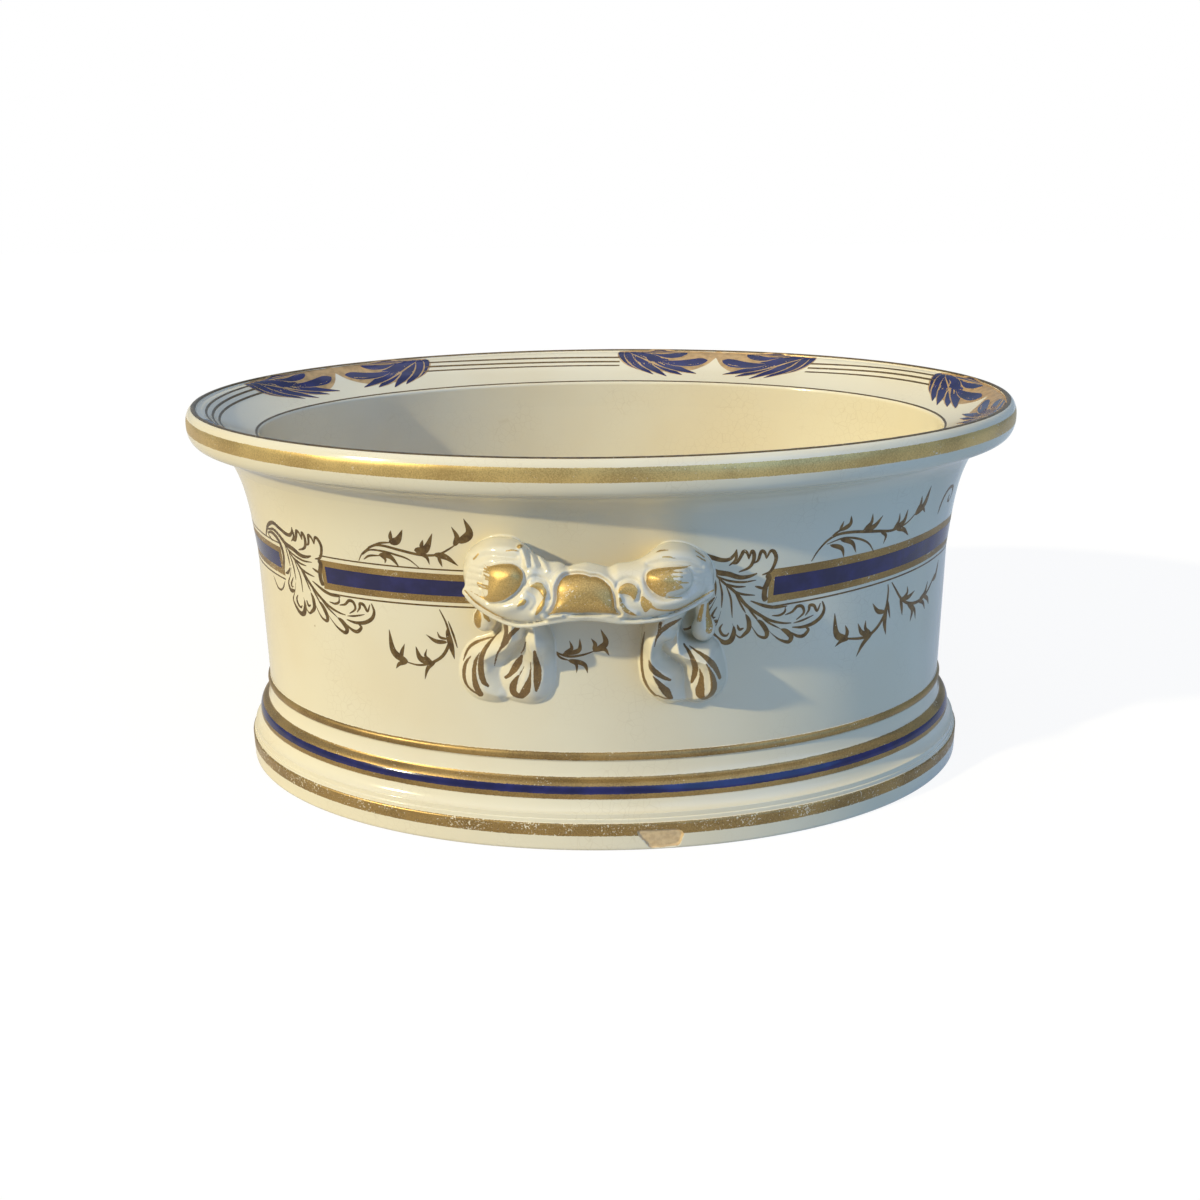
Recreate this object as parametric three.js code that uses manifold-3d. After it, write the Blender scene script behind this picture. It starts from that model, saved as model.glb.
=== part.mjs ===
// Oval glazed pottery foot bath with a rolled rim, a moulded foot and two leaf-moulded bracket handles.
// Millimetres, +Z up. X runs along the long axis, and the origin is the centre of the face it stands on.
import * as THREE from "three";
import { mergeVertices } from "three/addons/utils/BufferGeometryUtils.js";
import Module from "manifold-3d";

// Body: every level section is an oval, measured as an offset from the outer face of the wall.
const WALL_LENGTH = 414; // outer face of the wall, end to end
const WALL_WIDTH = 282; // outer face of the wall, front to back
const WALL_THICKNESS = 7;
const WALL_HEIGHT = 132; // from the seat on the foot to the seat under the rim
const WALL_FLARE = 9.2; // how far the wall leans out under the rim
const OVAL_STEPS = 56;

// Foot moulding, from the table up.
const PLINTH_HEIGHT = 16;
const PLINTH_PROUD = 13.5;
const PLINTH_BEVEL = 2;
const OGEE_HEIGHT = 11.2;
const TORUS_HEIGHT = 9.9;
const TORUS_PROUD = 7;
const COVE_HEIGHT = 8.9;
const BEAD_HEIGHT = 6;
const BEAD_PROUD = 1.3;
const STANDING_RING = 12; // width of the ring that touches the table
const BASE_RECESS = 6; // how far the underside of the floor is above the table
const LEDGE_WIDTH = 6; // ledge inside the foot that carries the floor
const LEDGE_THICKNESS = 5;

// Floor, a shallow tray whose upturned edge makes the fillet inside the bath.
const FLOOR_THICKNESS = 9;
const FLOOR_FILLET = 18;

// Rim, from its seat on the wall up.
const RIM_HEIGHT = 33.7;
const RIM_OVERHANG = 33; // outermost point of the roll, from the wall face
const ROLL_HEIGHT = 19.5;
const ROLL_CREST = 5; // how far the highest line of the roll is in from its outermost
const FLANGE_FALL = 16.9; // from the top of the roll down to the lip of the bowl

// Handles: places are given along X from the handle's centre, out from the wall face, and up.
const HANDLE_OFFSET = -3.5; // each handle was luted on a little to one side of the middle
const HANDLE_RISE = 100.5; // from the top of the foot up to the middle of the bar
const GRIP_SPAN = 124;
const GRIP_PROUD = 36;
const BAR_HEIGHT = 24.5;
const BAR_DEPTH = 20;
const LOBE_REACH = 19; // from the centre of a lobe out to the end of the grip
const LOBE_LIFT = 1.8; // centre of a lobe above the middle of the bar
const LOBE_HEIGHT = 37.4;
const LOBE_DEPTH = 29;
const ROOT_WIDTH = 35; // each end where it meets the wall
const ROOT_HEIGHT = 29;
const ROOT_DROP = 3.6; // middle of a root below the middle of its lobe
const LIP_RADIUS = 2.4;
const BOSS_RISE = 1.8;
const PANEL_WIDTH = 30;
const PANEL_HEIGHT = 19.5;
const OVAL_BOSS_WIDTH = 20;
const OVAL_BOSS_HEIGHT = 18;
const SCROLL_RADIUS = 1.8;
const EAR_RADIUS = 6.4;
const EAR_STRETCH = 1.5; // how much taller than round an ear is
const EAR_DROP = 19.5; // centre of an ear below the middle of the bar

// Leaf of two petals below each end of a grip.
const LEAF_DROP = 70.6; // from the middle of the bar down to the lowest point of the petals
const LEAF_PROUD = 12.5; // at the round ends
const STEM_PROUD = 25; // where the stem leaves the grip
const PETAL_WIDTH = 27;
const STEM_WIDTH = 17;
const INNER_PETAL_IN = 8; // middle of the inner petal's round end, from the centre of the lobe
const OUTER_PETAL_OUT = 14.5;

const LUTE_GAP = 0.3; // left between pieces luted on a curved face
const SECTION_SIDES = 12;

const wasm = await Module();
wasm.setup();

const FOOT_HEIGHT = PLINTH_HEIGHT + OGEE_HEIGHT + TORUS_HEIGHT + COVE_HEIGHT + BEAD_HEIGHT;
const WALL_TOP = FOOT_HEIGHT + WALL_HEIGHT;
const RIM_TOP = WALL_TOP + RIM_HEIGHT;
const INSIDE = -WALL_THICKNESS;
const LOBE_X = GRIP_SPAN / 2 - LOBE_REACH;
const BAR_Z = FOOT_HEIGHT + HANDLE_RISE;
const LOBE_Z = BAR_Z + LOBE_LIFT;

// A closed mesh becomes a solid that can be joined and cut.
function toSolid(geometry) {
  const bare = geometry.clone();
  bare.deleteAttribute("normal");
  bare.deleteAttribute("uv");
  const merged = mergeVertices(bare, 1e-4);
  return new wasm.Manifold(
    new wasm.Mesh({
      numProp: 3,
      vertProperties: new Float32Array(merged.attributes.position.array),
      triVerts: new Uint32Array(merged.index.array),
    }),
  );
}

function toGeometry(solid) {
  const mesh = solid.getMesh();
  const geometry = new THREE.BufferGeometry();
  geometry.setAttribute("position", new THREE.BufferAttribute(mesh.vertProperties, 3));
  geometry.setIndex(new THREE.BufferAttribute(mesh.triVerts, 1));
  geometry.computeVertexNormals();
  return geometry;
}

// Rings of points, each with as many points, joined into one skin. The ends are closed on a centre point,
// unless the rings run round in a loop.
function skin(rings, loop) {
  const sides = rings[0].length;
  const points = rings.flat();
  const faces = [];
  const last = loop ? rings.length : rings.length - 1;
  for (let i = 0; i < last; i++) {
    const low = i * sides;
    const high = ((i + 1) % rings.length) * sides;
    for (let j = 0; j < sides; j++) {
      const k = (j + 1) % sides;
      faces.push(low + j, low + k, high + k, low + j, high + k, high + j);
    }
  }
  if (!loop) {
    const first = points.length;
    points.push(middle(rings[0]), middle(rings[rings.length - 1]));
    const top = (rings.length - 1) * sides;
    for (let j = 0; j < sides; j++) {
      const k = (j + 1) % sides;
      faces.push(first, k, j, first + 1, top + j, top + k);
    }
  }
  const geometry = new THREE.BufferGeometry().setFromPoints(points);
  geometry.setIndex(faces);
  geometry.computeVertexNormals();
  return geometry;
}

function middle(ring) {
  const sum = new THREE.Vector3();
  for (const point of ring) sum.add(point);
  return sum.divideScalar(ring.length);
}

// One level oval, at an offset from the wall face.
function oval(offset, z) {
  const ring = [];
  for (let i = 0; i < OVAL_STEPS; i++) {
    const turn = (i / OVAL_STEPS) * Math.PI * 2;
    const x = (WALL_LENGTH / 2 + offset) * Math.cos(turn);
    const y = (WALL_WIDTH / 2 + offset) * Math.sin(turn);
    ring.push(new THREE.Vector3(x, y, z));
  }
  return ring;
}

// A profile of [offset, z] points, listed up the outside and down the inside.
function ovalRing(profile) {
  return skin(profile.map(([offset, z]) => oval(offset, z)), true);
}

function ovalDisc(profile) {
  return skin(profile.map(([offset, z]) => oval(offset, z)), false);
}

// Points of a quarter curve from one place to another, round the corner where the first leaves level or upright.
function quarter(from, to, steps, level) {
  const points = [];
  for (let i = 0; i <= steps; i++) {
    const turn = (i / steps) * (Math.PI / 2);
    const go = Math.sin(turn);
    const rest = 1 - Math.cos(turn);
    const along = level ? go : rest;
    const up = level ? rest : go;
    points.push([from[0] + (to[0] - from[0]) * along, from[1] + (to[1] - from[1]) * up]);
  }
  return points;
}

// The wall is upright for most of its height, then leans out in a slow curve to the rim.
function wallOffset(z) {
  const from = FOOT_HEIGHT + WALL_HEIGHT * 0.6;
  const lean = THREE.MathUtils.clamp((z - from) / (WALL_TOP - from), 0, 1);
  return WALL_FLARE * (0.52 * lean + 0.48 * lean ** 4);
}

function wallFace(growth) {
  const levels = [0, 0.6, 0.7, 0.79, 0.87, 0.94, 1];
  return levels.map((share) => {
    const z = FOOT_HEIGHT + WALL_HEIGHT * share;
    return [wallOffset(z) + growth, z];
  });
}

function makeWall() {
  return ovalRing([...wallFace(0), [INSIDE, WALL_TOP], [INSIDE, FOOT_HEIGHT]]);
}

function makeFoot() {
  const ogeeZ = PLINTH_HEIGHT;
  const torusZ = ogeeZ + OGEE_HEIGHT;
  const coveZ = torusZ + TORUS_HEIGHT;
  const beadZ = coveZ + COVE_HEIGHT;
  const torusNeck = TORUS_PROUD * 0.4;
  const plinthIn = PLINTH_PROUD - PLINTH_BEVEL;
  const ogeeStep = PLINTH_PROUD - 1.2;
  const standingIn = plinthIn - STANDING_RING;
  const ledgeIn = INSIDE - LEDGE_WIDTH;
  const ledgeTop = BASE_RECESS + LEDGE_THICKNESS;
  const outside = [
    [plinthIn, 0],
    [PLINTH_PROUD, PLINTH_BEVEL],
    [PLINTH_PROUD, PLINTH_HEIGHT],
    [ogeeStep, ogeeZ + 1],
    [ogeeStep - 0.3, ogeeZ + OGEE_HEIGHT * 0.36],
    ...quarter([ogeeStep - 1.6, ogeeZ + OGEE_HEIGHT * 0.46], [TORUS_PROUD + 0.3, torusZ], 3, true),
    ...quarter([TORUS_PROUD, torusZ + 0.3], [torusNeck, coveZ], 4, false),
    ...quarter([torusNeck - 0.6, coveZ + 0.6], [0.4, beadZ], 3, true),
    [BEAD_PROUD, beadZ + BEAD_HEIGHT * 0.25],
    [BEAD_PROUD, beadZ + BEAD_HEIGHT * 0.75],
    [0, FOOT_HEIGHT],
  ];
  const inside = [
    [INSIDE, FOOT_HEIGHT],
    [INSIDE, ledgeTop],
    [ledgeIn, ledgeTop],
    [ledgeIn, BASE_RECESS],
    [standingIn - 2, BASE_RECESS],
    [standingIn, 0],
  ];
  return ovalRing([...outside, ...inside]);
}

function makeFloor() {
  const ledgeTop = BASE_RECESS + LEDGE_THICKNESS;
  const top = BASE_RECESS + FLOOR_THICKNESS;
  const edge = INSIDE - LUTE_GAP;
  const plug = INSIDE - LEDGE_WIDTH - LUTE_GAP;
  const fillet = quarter([edge - 1, top + FLOOR_FILLET], [edge - 1 - FLOOR_FILLET, top], 4, false);
  const sunk = [
    [plug, BASE_RECESS],
    [plug, ledgeTop],
    [edge, ledgeTop],
    [edge, top + FLOOR_FILLET],
  ];
  return ovalDisc([...sunk, ...fillet]);
}

function makeRim() {
  const rollBottom = RIM_TOP - ROLL_HEIGHT;
  const equator = rollBottom + ROLL_HEIGHT * 0.58;
  const crest = RIM_OVERHANG - ROLL_CREST;
  const flangeTop = RIM_TOP - 2.2;
  const lipZ = RIM_TOP - FLANGE_FALL;
  const profile = [
    ...quarter([WALL_FLARE, WALL_TOP], [crest - 1, rollBottom], 4, false),
    ...quarter([crest + 1, rollBottom + 0.8], [RIM_OVERHANG, equator], 3, true),
    ...quarter([RIM_OVERHANG - 0.2, equator + 0.8], [crest, RIM_TOP], 3, false),
    [crest - 3, RIM_TOP - 0.5],
    [crest - 6, flangeTop],
    [crest - 14, RIM_TOP - FLANGE_FALL * 0.5],
    [INSIDE + 1, lipZ],
    [INSIDE, lipZ - 1],
    [INSIDE, WALL_TOP],
  ];
  return ovalRing(profile);
}

// Handles are shaped at the front of the bath, where outwards is towards -Y.
function frontPoint(x, proud, z) {
  const along = x + HANDLE_OFFSET;
  const half = WALL_LENGTH / 2;
  const face = (WALL_WIDTH / 2) * Math.sqrt(1 - (along / half) ** 2);
  return new THREE.Vector3(along, -(face + proud), z);
}

const smooth = (value, from, to) => THREE.MathUtils.smoothstep(value, from, to);
const mix = THREE.MathUtils.lerp;

// Section of the grip at a place along it: its middle and its half sizes, outwards and upwards.
function gripSection(x) {
  const place = Math.abs(x);
  const swell = smooth(place, LOBE_X * 0.42, LOBE_X);
  const past = THREE.MathUtils.clamp((place - LOBE_X) / LOBE_REACH, 0, 0.995);
  const round = Math.sqrt(1 - past * past);
  const depth = (mix(BAR_DEPTH, LOBE_DEPTH, swell) / 2) * round;
  const height = (mix(BAR_HEIGHT, LOBE_HEIGHT, swell) / 2) * round;
  const front = GRIP_PROUD - 1.6 * swell;
  const out = mix(front - BAR_DEPTH / 2, front - LOBE_DEPTH / 2, swell);
  return { out, depth, height, z: mix(BAR_Z, LOBE_Z, swell) };
}

function gripFront(x, z) {
  const section = gripSection(x);
  const share = THREE.MathUtils.clamp((z - section.z) / section.height, -0.98, 0.98);
  return section.out + section.depth * Math.sqrt(1 - share * share);
}

// The bar runs across in upright sections that swell into a scrolled lobe at each end.
function gripBar(growth) {
  const rings = [];
  const steps = 20;
  for (let i = 0; i <= steps; i++) {
    const x = -Math.cos((i / steps) * Math.PI) * (GRIP_SPAN / 2 + growth);
    const section = gripSection(x);
    const ring = [];
    for (let j = 0; j < SECTION_SIDES; j++) {
      const turn = -(j / SECTION_SIDES) * Math.PI * 2;
      const out = section.out + (section.depth + growth) * Math.cos(turn);
      const z = section.z + (section.height + growth) * Math.sin(turn);
      ring.push(frontPoint(x, out, z));
    }
    rings.push(ring);
  }
  return toSolid(skin(rings, false));
}

// Each lobe runs back to the wall in a root that widens as it lands.
function gripRoot(side, growth) {
  const rings = [];
  const steps = 5;
  const end = GRIP_PROUD - LOBE_DEPTH * 0.6;
  for (let i = 0; i <= steps; i++) {
    const share = i / steps;
    const out = mix(-3, end, share);
    const width = mix(ROOT_WIDTH, LOBE_DEPTH * 0.96, smooth(share, 0, 1)) / 2 + growth;
    const height = mix(ROOT_HEIGHT, LOBE_HEIGHT * 0.93, smooth(share, 0, 1)) / 2 + growth;
    const ring = [];
    for (let j = 0; j < SECTION_SIDES; j++) {
      const turn = (j / SECTION_SIDES) * Math.PI * 2;
      const x = side * LOBE_X + width * Math.cos(turn);
      const z = LOBE_Z - ROOT_DROP * (1 - share) + height * Math.sin(turn);
      ring.push(frontPoint(x, out, z));
    }
    rings.push(ring);
  }
  return toSolid(skin(rings, false));
}

// A low dome on the front of the grip, from an outline round its own middle.
function boss(centreX, centreZ, outline) {
  const shells = [
    [1, -4],
    [1, 0.2],
    [0.8, BOSS_RISE * 0.75],
    [0.4, BOSS_RISE],
  ];
  const rings = shells.map(([scale, rise]) =>
    outline.map(([x, z]) => {
      const px = centreX + x * scale;
      const pz = centreZ + z * scale;
      return frontPoint(px, gripFront(px, pz) + rise, pz);
    }),
  );
  return toSolid(skin(rings, false));
}

function ovalOutline(width, height) {
  const points = [];
  for (let j = 0; j < SECTION_SIDES; j++) {
    const turn = (j / SECTION_SIDES) * Math.PI * 2;
    points.push([(width / 2) * Math.cos(turn), (height / 2) * Math.sin(turn)]);
  }
  return points;
}

// The panel has a straight foot with spread corners, sides that draw in, and an arched top, each point given in
// shares of its half width and half height.
function panelOutline() {
  const right = [
    [1, -1],
    [0.82, -0.5],
    [0.76, 0.1],
    [0.62, 0.62],
    [0.34, 0.88],
  ];
  const left = right.map(([x, z]) => [-x, z]).reverse();
  const shares = [[0, -0.88], ...right, [0, 1], ...left];
  return shares.map(([x, z]) => [(x * PANEL_WIDTH) / 2, (z * PANEL_HEIGHT) / 2]);
}

// A round moulding laid along the front of the grip, through places given as [x, z].
function ridge(places, radius, steps, lift) {
  const points = places.map(([x, z]) => frontPoint(x, gripFront(x, z) + lift, z));
  const path = new THREE.CatmullRomCurve3(points);
  const section = new THREE.Shape().absarc(0, 0, radius, 0, Math.PI * 2);
  const geometry = new THREE.ExtrudeGeometry(section, {
    steps,
    extrudePath: path,
    curveSegments: 3,
    bevelEnabled: false,
  });
  return toSolid(geometry);
}

// The lip follows the lower edge of the whole grip, dipping under each lobe.
function gripLip() {
  const places = [];
  const count = 12;
  const end = GRIP_SPAN / 2 - 5;
  for (let i = 0; i <= count; i++) {
    const x = mix(-end, end, i / count);
    const section = gripSection(x);
    places.push([x, section.z - section.height * 0.86]);
  }
  return ridge(places, LIP_RADIUS, 20, -LIP_RADIUS * 0.5);
}

// A comma scroll stands between the panel and each oval boss, with its hollow side outwards.
function gripScroll(side) {
  const centreX = side * (PANEL_WIDTH / 2 + 10);
  const places = [];
  for (let i = 0; i <= 6; i++) {
    const turn = mix(-0.75, 0.6, i / 6) * Math.PI;
    places.push([centreX - side * 4.2 * Math.cos(turn), BAR_Z + 7 * Math.sin(turn)]);
  }
  return ridge(places, SCROLL_RADIUS, 10, -0.3);
}

// A small rounded ear hangs below the outer end of each lobe.
function gripEar(side, growth) {
  const ball = new THREE.SphereGeometry(EAR_RADIUS + growth, 10, 7);
  ball.rotateX(Math.PI / 2);
  ball.scale(1, 1, EAR_STRETCH);
  const place = frontPoint(side * (LOBE_X + LOBE_REACH * 0.5), EAR_RADIUS + 1, BAR_Z - EAR_DROP);
  ball.translate(place.x, place.y, place.z);
  return toSolid(ball);
}

// The plain form of the grip, before its relief. A leaf is cut to it with the luting gap added.
function gripForm(growth) {
  let solid = gripBar(growth);
  for (const side of [-1, 1]) {
    solid = solid.add(gripRoot(side, growth)).add(gripEar(side, growth));
  }
  return solid;
}

// Solid that fills the bath out to its wall face, with the luting gap added.
function bathBlock() {
  return toSolid(ovalDisc(wallFace(LUTE_GAP)));
}

function makeGrip() {
  let solid = gripForm(0).add(gripLip());
  solid = solid.add(boss(0, BAR_Z - 1, panelOutline()));
  for (const side of [-1, 1]) {
    const outline = ovalOutline(OVAL_BOSS_WIDTH, OVAL_BOSS_HEIGHT);
    solid = solid.add(boss(side * (LOBE_X - 3), LOBE_Z + 2, outline));
    solid = solid.add(gripScroll(side));
  }
  return toGeometry(solid.subtract(bathBlock()));
}

// A petal hangs down the wall from under the grip and swells to a round end. Its middle line goes through four
// places across, from the top down.
function petal(side, across) {
  const bottom = BAR_Z - LEAF_DROP + PETAL_WIDTH / 2;
  const top = LOBE_Z - LOBE_HEIGHT * 0.3;
  const drops = [0, 0.42, 0.76, 1];
  const places = drops.map((drop, i) => new THREE.Vector3(side * across[i], 0, mix(top, bottom, drop)));
  const path = new THREE.CatmullRomCurve3(places);
  const rings = [];
  const steps = 6;
  const cap = 4;
  for (let i = 0; i <= steps + cap; i++) {
    const share = Math.min(i / steps, 1);
    const turn = (Math.max(i - steps, 0) / cap) * (Math.PI / 2) * 0.96;
    const place = path.getPoint(share);
    const along = path.getTangent(share);
    const width = (mix(STEM_WIDTH, PETAL_WIDTH, smooth(share, 0, 0.6)) / 2) * Math.cos(turn);
    const rise = (mix(STEM_PROUD, LEAF_PROUD, smooth(share, 0, 0.6)) - 2) * Math.cos(turn);
    const push = (PETAL_WIDTH / 2) * Math.sin(turn);
    const ring = [];
    for (let j = 0; j < SECTION_SIDES; j++) {
      const angle = (j / SECTION_SIDES) * Math.PI * 2;
      const aside = width * Math.cos(angle);
      const x = place.x + along.x * push - along.z * aside;
      const z = place.z + along.z * push + along.x * aside;
      ring.push(frontPoint(x, 2 + rise * Math.sin(angle), z));
    }
    rings.push(ring);
  }
  return toSolid(skin(rings, false));
}

function makeLeaf(side) {
  const innerX = LOBE_X - INNER_PETAL_IN;
  const outerX = LOBE_X + OUTER_PETAL_OUT;
  const inner = petal(side, [innerX - 1, innerX - 4, innerX - 2.5, innerX - 0.5]);
  const outer = petal(side, [innerX + 5, innerX + 8, outerX - 3, outerX]);
  return toGeometry(inner.add(outer).subtract(gripForm(LUTE_GAP)).subtract(bathBlock()));
}

const bath = new THREE.Group();

function addPiece(parent, name, geometry, color) {
  const glaze = new THREE.MeshStandardMaterial({ color, roughness: 0.18, metalness: 0 });
  const mesh = new THREE.Mesh(geometry, glaze);
  mesh.name = name;
  parent.add(mesh);
  return mesh;
}

addPiece(bath, "body_wall", makeWall(), 0xe9e2cc);
addPiece(bath, "floor_slab", makeFloor(), 0xe6dec6);
addPiece(bath, "rolled_rim", makeRim(), 0xefe8d2);
addPiece(bath, "foot_moulding", makeFoot(), 0xece4cb);

const gripGeometry = makeGrip();
const leafGeometry = { left: makeLeaf(-1), right: makeLeaf(1) };
for (const [place, turn] of [["front", 0], ["back", Math.PI]]) {
  const handle = new THREE.Group();
  handle.rotation.z = turn;
  addPiece(handle, `${place}_handle_grip`, gripGeometry.clone(), 0xf0e8d0);
  addPiece(handle, `${place}_leaf_left`, leafGeometry.left.clone(), 0xede5cd);
  addPiece(handle, `${place}_leaf_right`, leafGeometry.right.clone(), 0xede5cd);
  bath.add(handle);
}

export default bath;
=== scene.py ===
import math

import bpy
import numpy as np
from mathutils import Matrix, Vector


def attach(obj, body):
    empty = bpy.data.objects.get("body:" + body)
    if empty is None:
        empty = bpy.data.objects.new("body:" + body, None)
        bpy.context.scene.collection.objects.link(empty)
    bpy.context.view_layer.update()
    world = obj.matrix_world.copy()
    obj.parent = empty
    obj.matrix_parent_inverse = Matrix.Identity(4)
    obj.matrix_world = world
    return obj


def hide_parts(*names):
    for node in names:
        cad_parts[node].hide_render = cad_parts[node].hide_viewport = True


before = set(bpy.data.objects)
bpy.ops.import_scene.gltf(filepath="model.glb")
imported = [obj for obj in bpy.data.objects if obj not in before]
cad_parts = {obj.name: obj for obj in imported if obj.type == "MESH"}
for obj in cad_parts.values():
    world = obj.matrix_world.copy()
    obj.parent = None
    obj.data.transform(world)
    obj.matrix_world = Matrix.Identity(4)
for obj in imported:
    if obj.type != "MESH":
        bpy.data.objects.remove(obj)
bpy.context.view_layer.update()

# Camera.
# It stands 0.78 m in front of the middle of the bath and 0.36 m above the table, and looks down a little,
# so that the far side of the rim and some of the inside show over the near side.
lens_distance = 0.78009
lens_height = 0.35845
look_down = 0.3334358
look_aside = -0.0017598
lean_over = -0.012633
stand_aside = 0.0134778
ahead = Vector((
    math.sin(look_aside) * math.cos(look_down),
    math.cos(look_aside) * math.cos(look_down),
    -math.sin(look_down),
))
rightwards = Vector((math.cos(look_aside), -math.sin(look_aside), 0))
upwards = rightwards.cross(ahead)
across_picture = rightwards * math.cos(lean_over) + upwards * math.sin(lean_over)
up_picture = upwards * math.cos(lean_over) - rightwards * math.sin(lean_over)
camera_data = bpy.data.cameras.new("bath_camera")
camera_data.sensor_width = 36
camera_data.lens = 39.937
camera_data.clip_start = 0.01
camera_data.clip_end = 50
camera = bpy.data.objects.new("bath_camera", camera_data)
bpy.context.scene.collection.objects.link(camera)
camera_axes = Matrix((across_picture, up_picture, -ahead)).transposed().to_4x4()
camera_place = Matrix.Translation((0, -lens_distance, lens_height)) @ camera_axes
camera.matrix_world = Matrix.Rotation(stand_aside, 4, "Z") @ camera_place
bpy.context.scene.camera = camera
bpy.context.scene.view_settings.view_transform = "Standard"

# Studio.
# A pale table under the bath, a warm low lamp like a late sun on the left in front of it, and cool lamps
# like the sky above it and on its right. The table and the room are white to the eye and in the glaze, and
# the light that the table throws back is warm on the left and cool on the right.
table_size = 8.0
table_warm = (0.52, 0.50, 0.47, 1)
table_cool = (0.33, 0.46, 0.64, 1)
warm_until = 0.0
cool_from = 0.15
table_white = 1.27
table_white_share = 0.7
table_glaze_share = 0.35
room_light = (0.62, 0.80, 1.0, 1)
room_level = 0.1
glaze_room_level = 0.55
plain_white = (1, 1, 1, 1)
lamps = [
    ("low_sun", (-1.52, -1.0, 0.96), (1.0, 0.90, 0.58), 2.72, 2.0),
    ("sky_above", (0.0, -0.25, 1.0), (0.74, 0.78, 0.90), 1.36, 90.0),
    ("sky_right", (0.79, -1.0, 0.5), (0.10, 0.40, 1.0), 0.85, 50.0),
]


def add_node(tree, kind, **settings):
    """New node of a kind, with its settings."""
    node = tree.nodes.new(kind)
    for name, value in settings.items():
        setattr(node, name, value)
    return node


def put_in(tree, node, place, value):
    """Give one input of a node, found by its name or number, a socket or a plain value."""
    if isinstance(value, bpy.types.NodeSocket):
        tree.links.new(value, node.inputs[place])
    else:
        node.inputs[place].default_value = value


def feed(tree, node, **inputs):
    """Give inputs of a node, named with low lines for their spaces, a socket or a plain value each."""
    for name, value in inputs.items():
        put_in(tree, node, name.replace("_", " "), value)


def sum_node(tree, operation, first, second, clamp=False):
    """Result of one Math node: each side is a socket or a plain number."""
    node = add_node(tree, "ShaderNodeMath", operation=operation, use_clamp=clamp)
    put_in(tree, node, 0, first)
    put_in(tree, node, 1, second)
    return node.outputs[0]


def blend_colour(tree, share, first, second):
    """Colour between two. The Mix node keeps its two colours in its seventh and eighth inputs."""
    node = add_node(tree, "ShaderNodeMix", data_type="RGBA")
    for place, value in ((0, share), (6, first), (7, second)):
        put_in(tree, node, place, value)
    return node.outputs[2]


def blend_shader(tree, share, first, second):
    """Shader between two."""
    node = add_node(tree, "ShaderNodeMixShader")
    for place, value in enumerate((share, first, second)):
        put_in(tree, node, place, value)
    return node.outputs[0]


table_mesh = bpy.data.meshes.new("studio_table")
half_table = table_size / 2
table_corners = [(x * half_table, y * half_table, 0) for x, y in ((-1, -1), (1, -1), (1, 1), (-1, 1))]
table_mesh.from_pydata(table_corners, [], [(0, 1, 2, 3)])
studio_table = bpy.data.objects.new("studio_table", table_mesh)
bpy.context.scene.collection.objects.link(studio_table)
table_paint = bpy.data.materials.new("studio_table_paint")
table_paint.use_nodes = True
tree = table_paint.node_tree
tree.nodes.clear()
ray_kind = add_node(tree, "ShaderNodeLightPath")
table_place = add_node(tree, "ShaderNodeTexCoord")
table_across = add_node(tree, "ShaderNodeSeparateXYZ")
put_in(tree, table_across, 0, table_place.outputs["Object"])
cooling = add_node(tree, "ShaderNodeMapRange")
feed(tree, cooling, Value=table_across.outputs["X"], From_Min=warm_until, From_Max=cool_from)
seen_by_eye = ray_kind.outputs["Is Camera Ray"]
unseen_cooling = sum_node(tree, "SUBTRACT", cooling.outputs["Result"], seen_by_eye, clamp=True)
matt = add_node(tree, "ShaderNodeBsdfDiffuse")
feed(tree, matt, Color=blend_colour(tree, unseen_cooling, table_warm, table_cool))
glow = add_node(tree, "ShaderNodeEmission")
feed(tree, glow, Strength=table_white)
glow_share = 0.0
for kind, share in (("Is Camera Ray", table_white_share), ("Is Glossy Ray", table_glaze_share),
                    ("Is Transmission Ray", table_white_share)):
    glow_share = sum_node(tree, "ADD", glow_share, sum_node(tree, "MULTIPLY", ray_kind.outputs[kind], share))
table_out = add_node(tree, "ShaderNodeOutputMaterial")
feed(tree, table_out, Surface=blend_shader(tree, glow_share, matt.outputs[0], glow.outputs[0]))
table_mesh.materials.append(table_paint)


def room_side(tree, colour, level):
    """Even light of one colour from all round."""
    side = add_node(tree, "ShaderNodeBackground")
    feed(tree, side, Color=colour, Strength=level)
    return side.outputs[0]


room = bpy.data.worlds.new("pale_room")
room.use_nodes = True
tree = room.node_tree
tree.nodes.clear()
ray_kind = add_node(tree, "ShaderNodeLightPath")
shown = room_side(tree, room_light, room_level)
in_glaze = room_side(tree, room_light, glaze_room_level)
white = room_side(tree, plain_white, 1.0)
for kind, side in (("Is Glossy Ray", in_glaze), ("Is Transmission Ray", white), ("Is Camera Ray", white)):
    shown = blend_shader(tree, ray_kind.outputs[kind], shown, side)
feed(tree, add_node(tree, "ShaderNodeOutputWorld"), Surface=shown)
bpy.context.scene.world = room

for lamp_name, towards, lamp_colour, lamp_level, spread in lamps:
    lamp_data = bpy.data.lights.new(lamp_name, "SUN")
    lamp_data.color = lamp_colour
    lamp_data.energy = lamp_level
    lamp_data.angle = math.radians(spread)
    lamp = bpy.data.objects.new(lamp_name, lamp_data)
    lamp.rotation_mode = "QUATERNION"
    lamp.rotation_quaternion = Vector(towards).to_track_quat("Z", "Y")
    bpy.context.scene.collection.objects.link(lamp)

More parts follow.
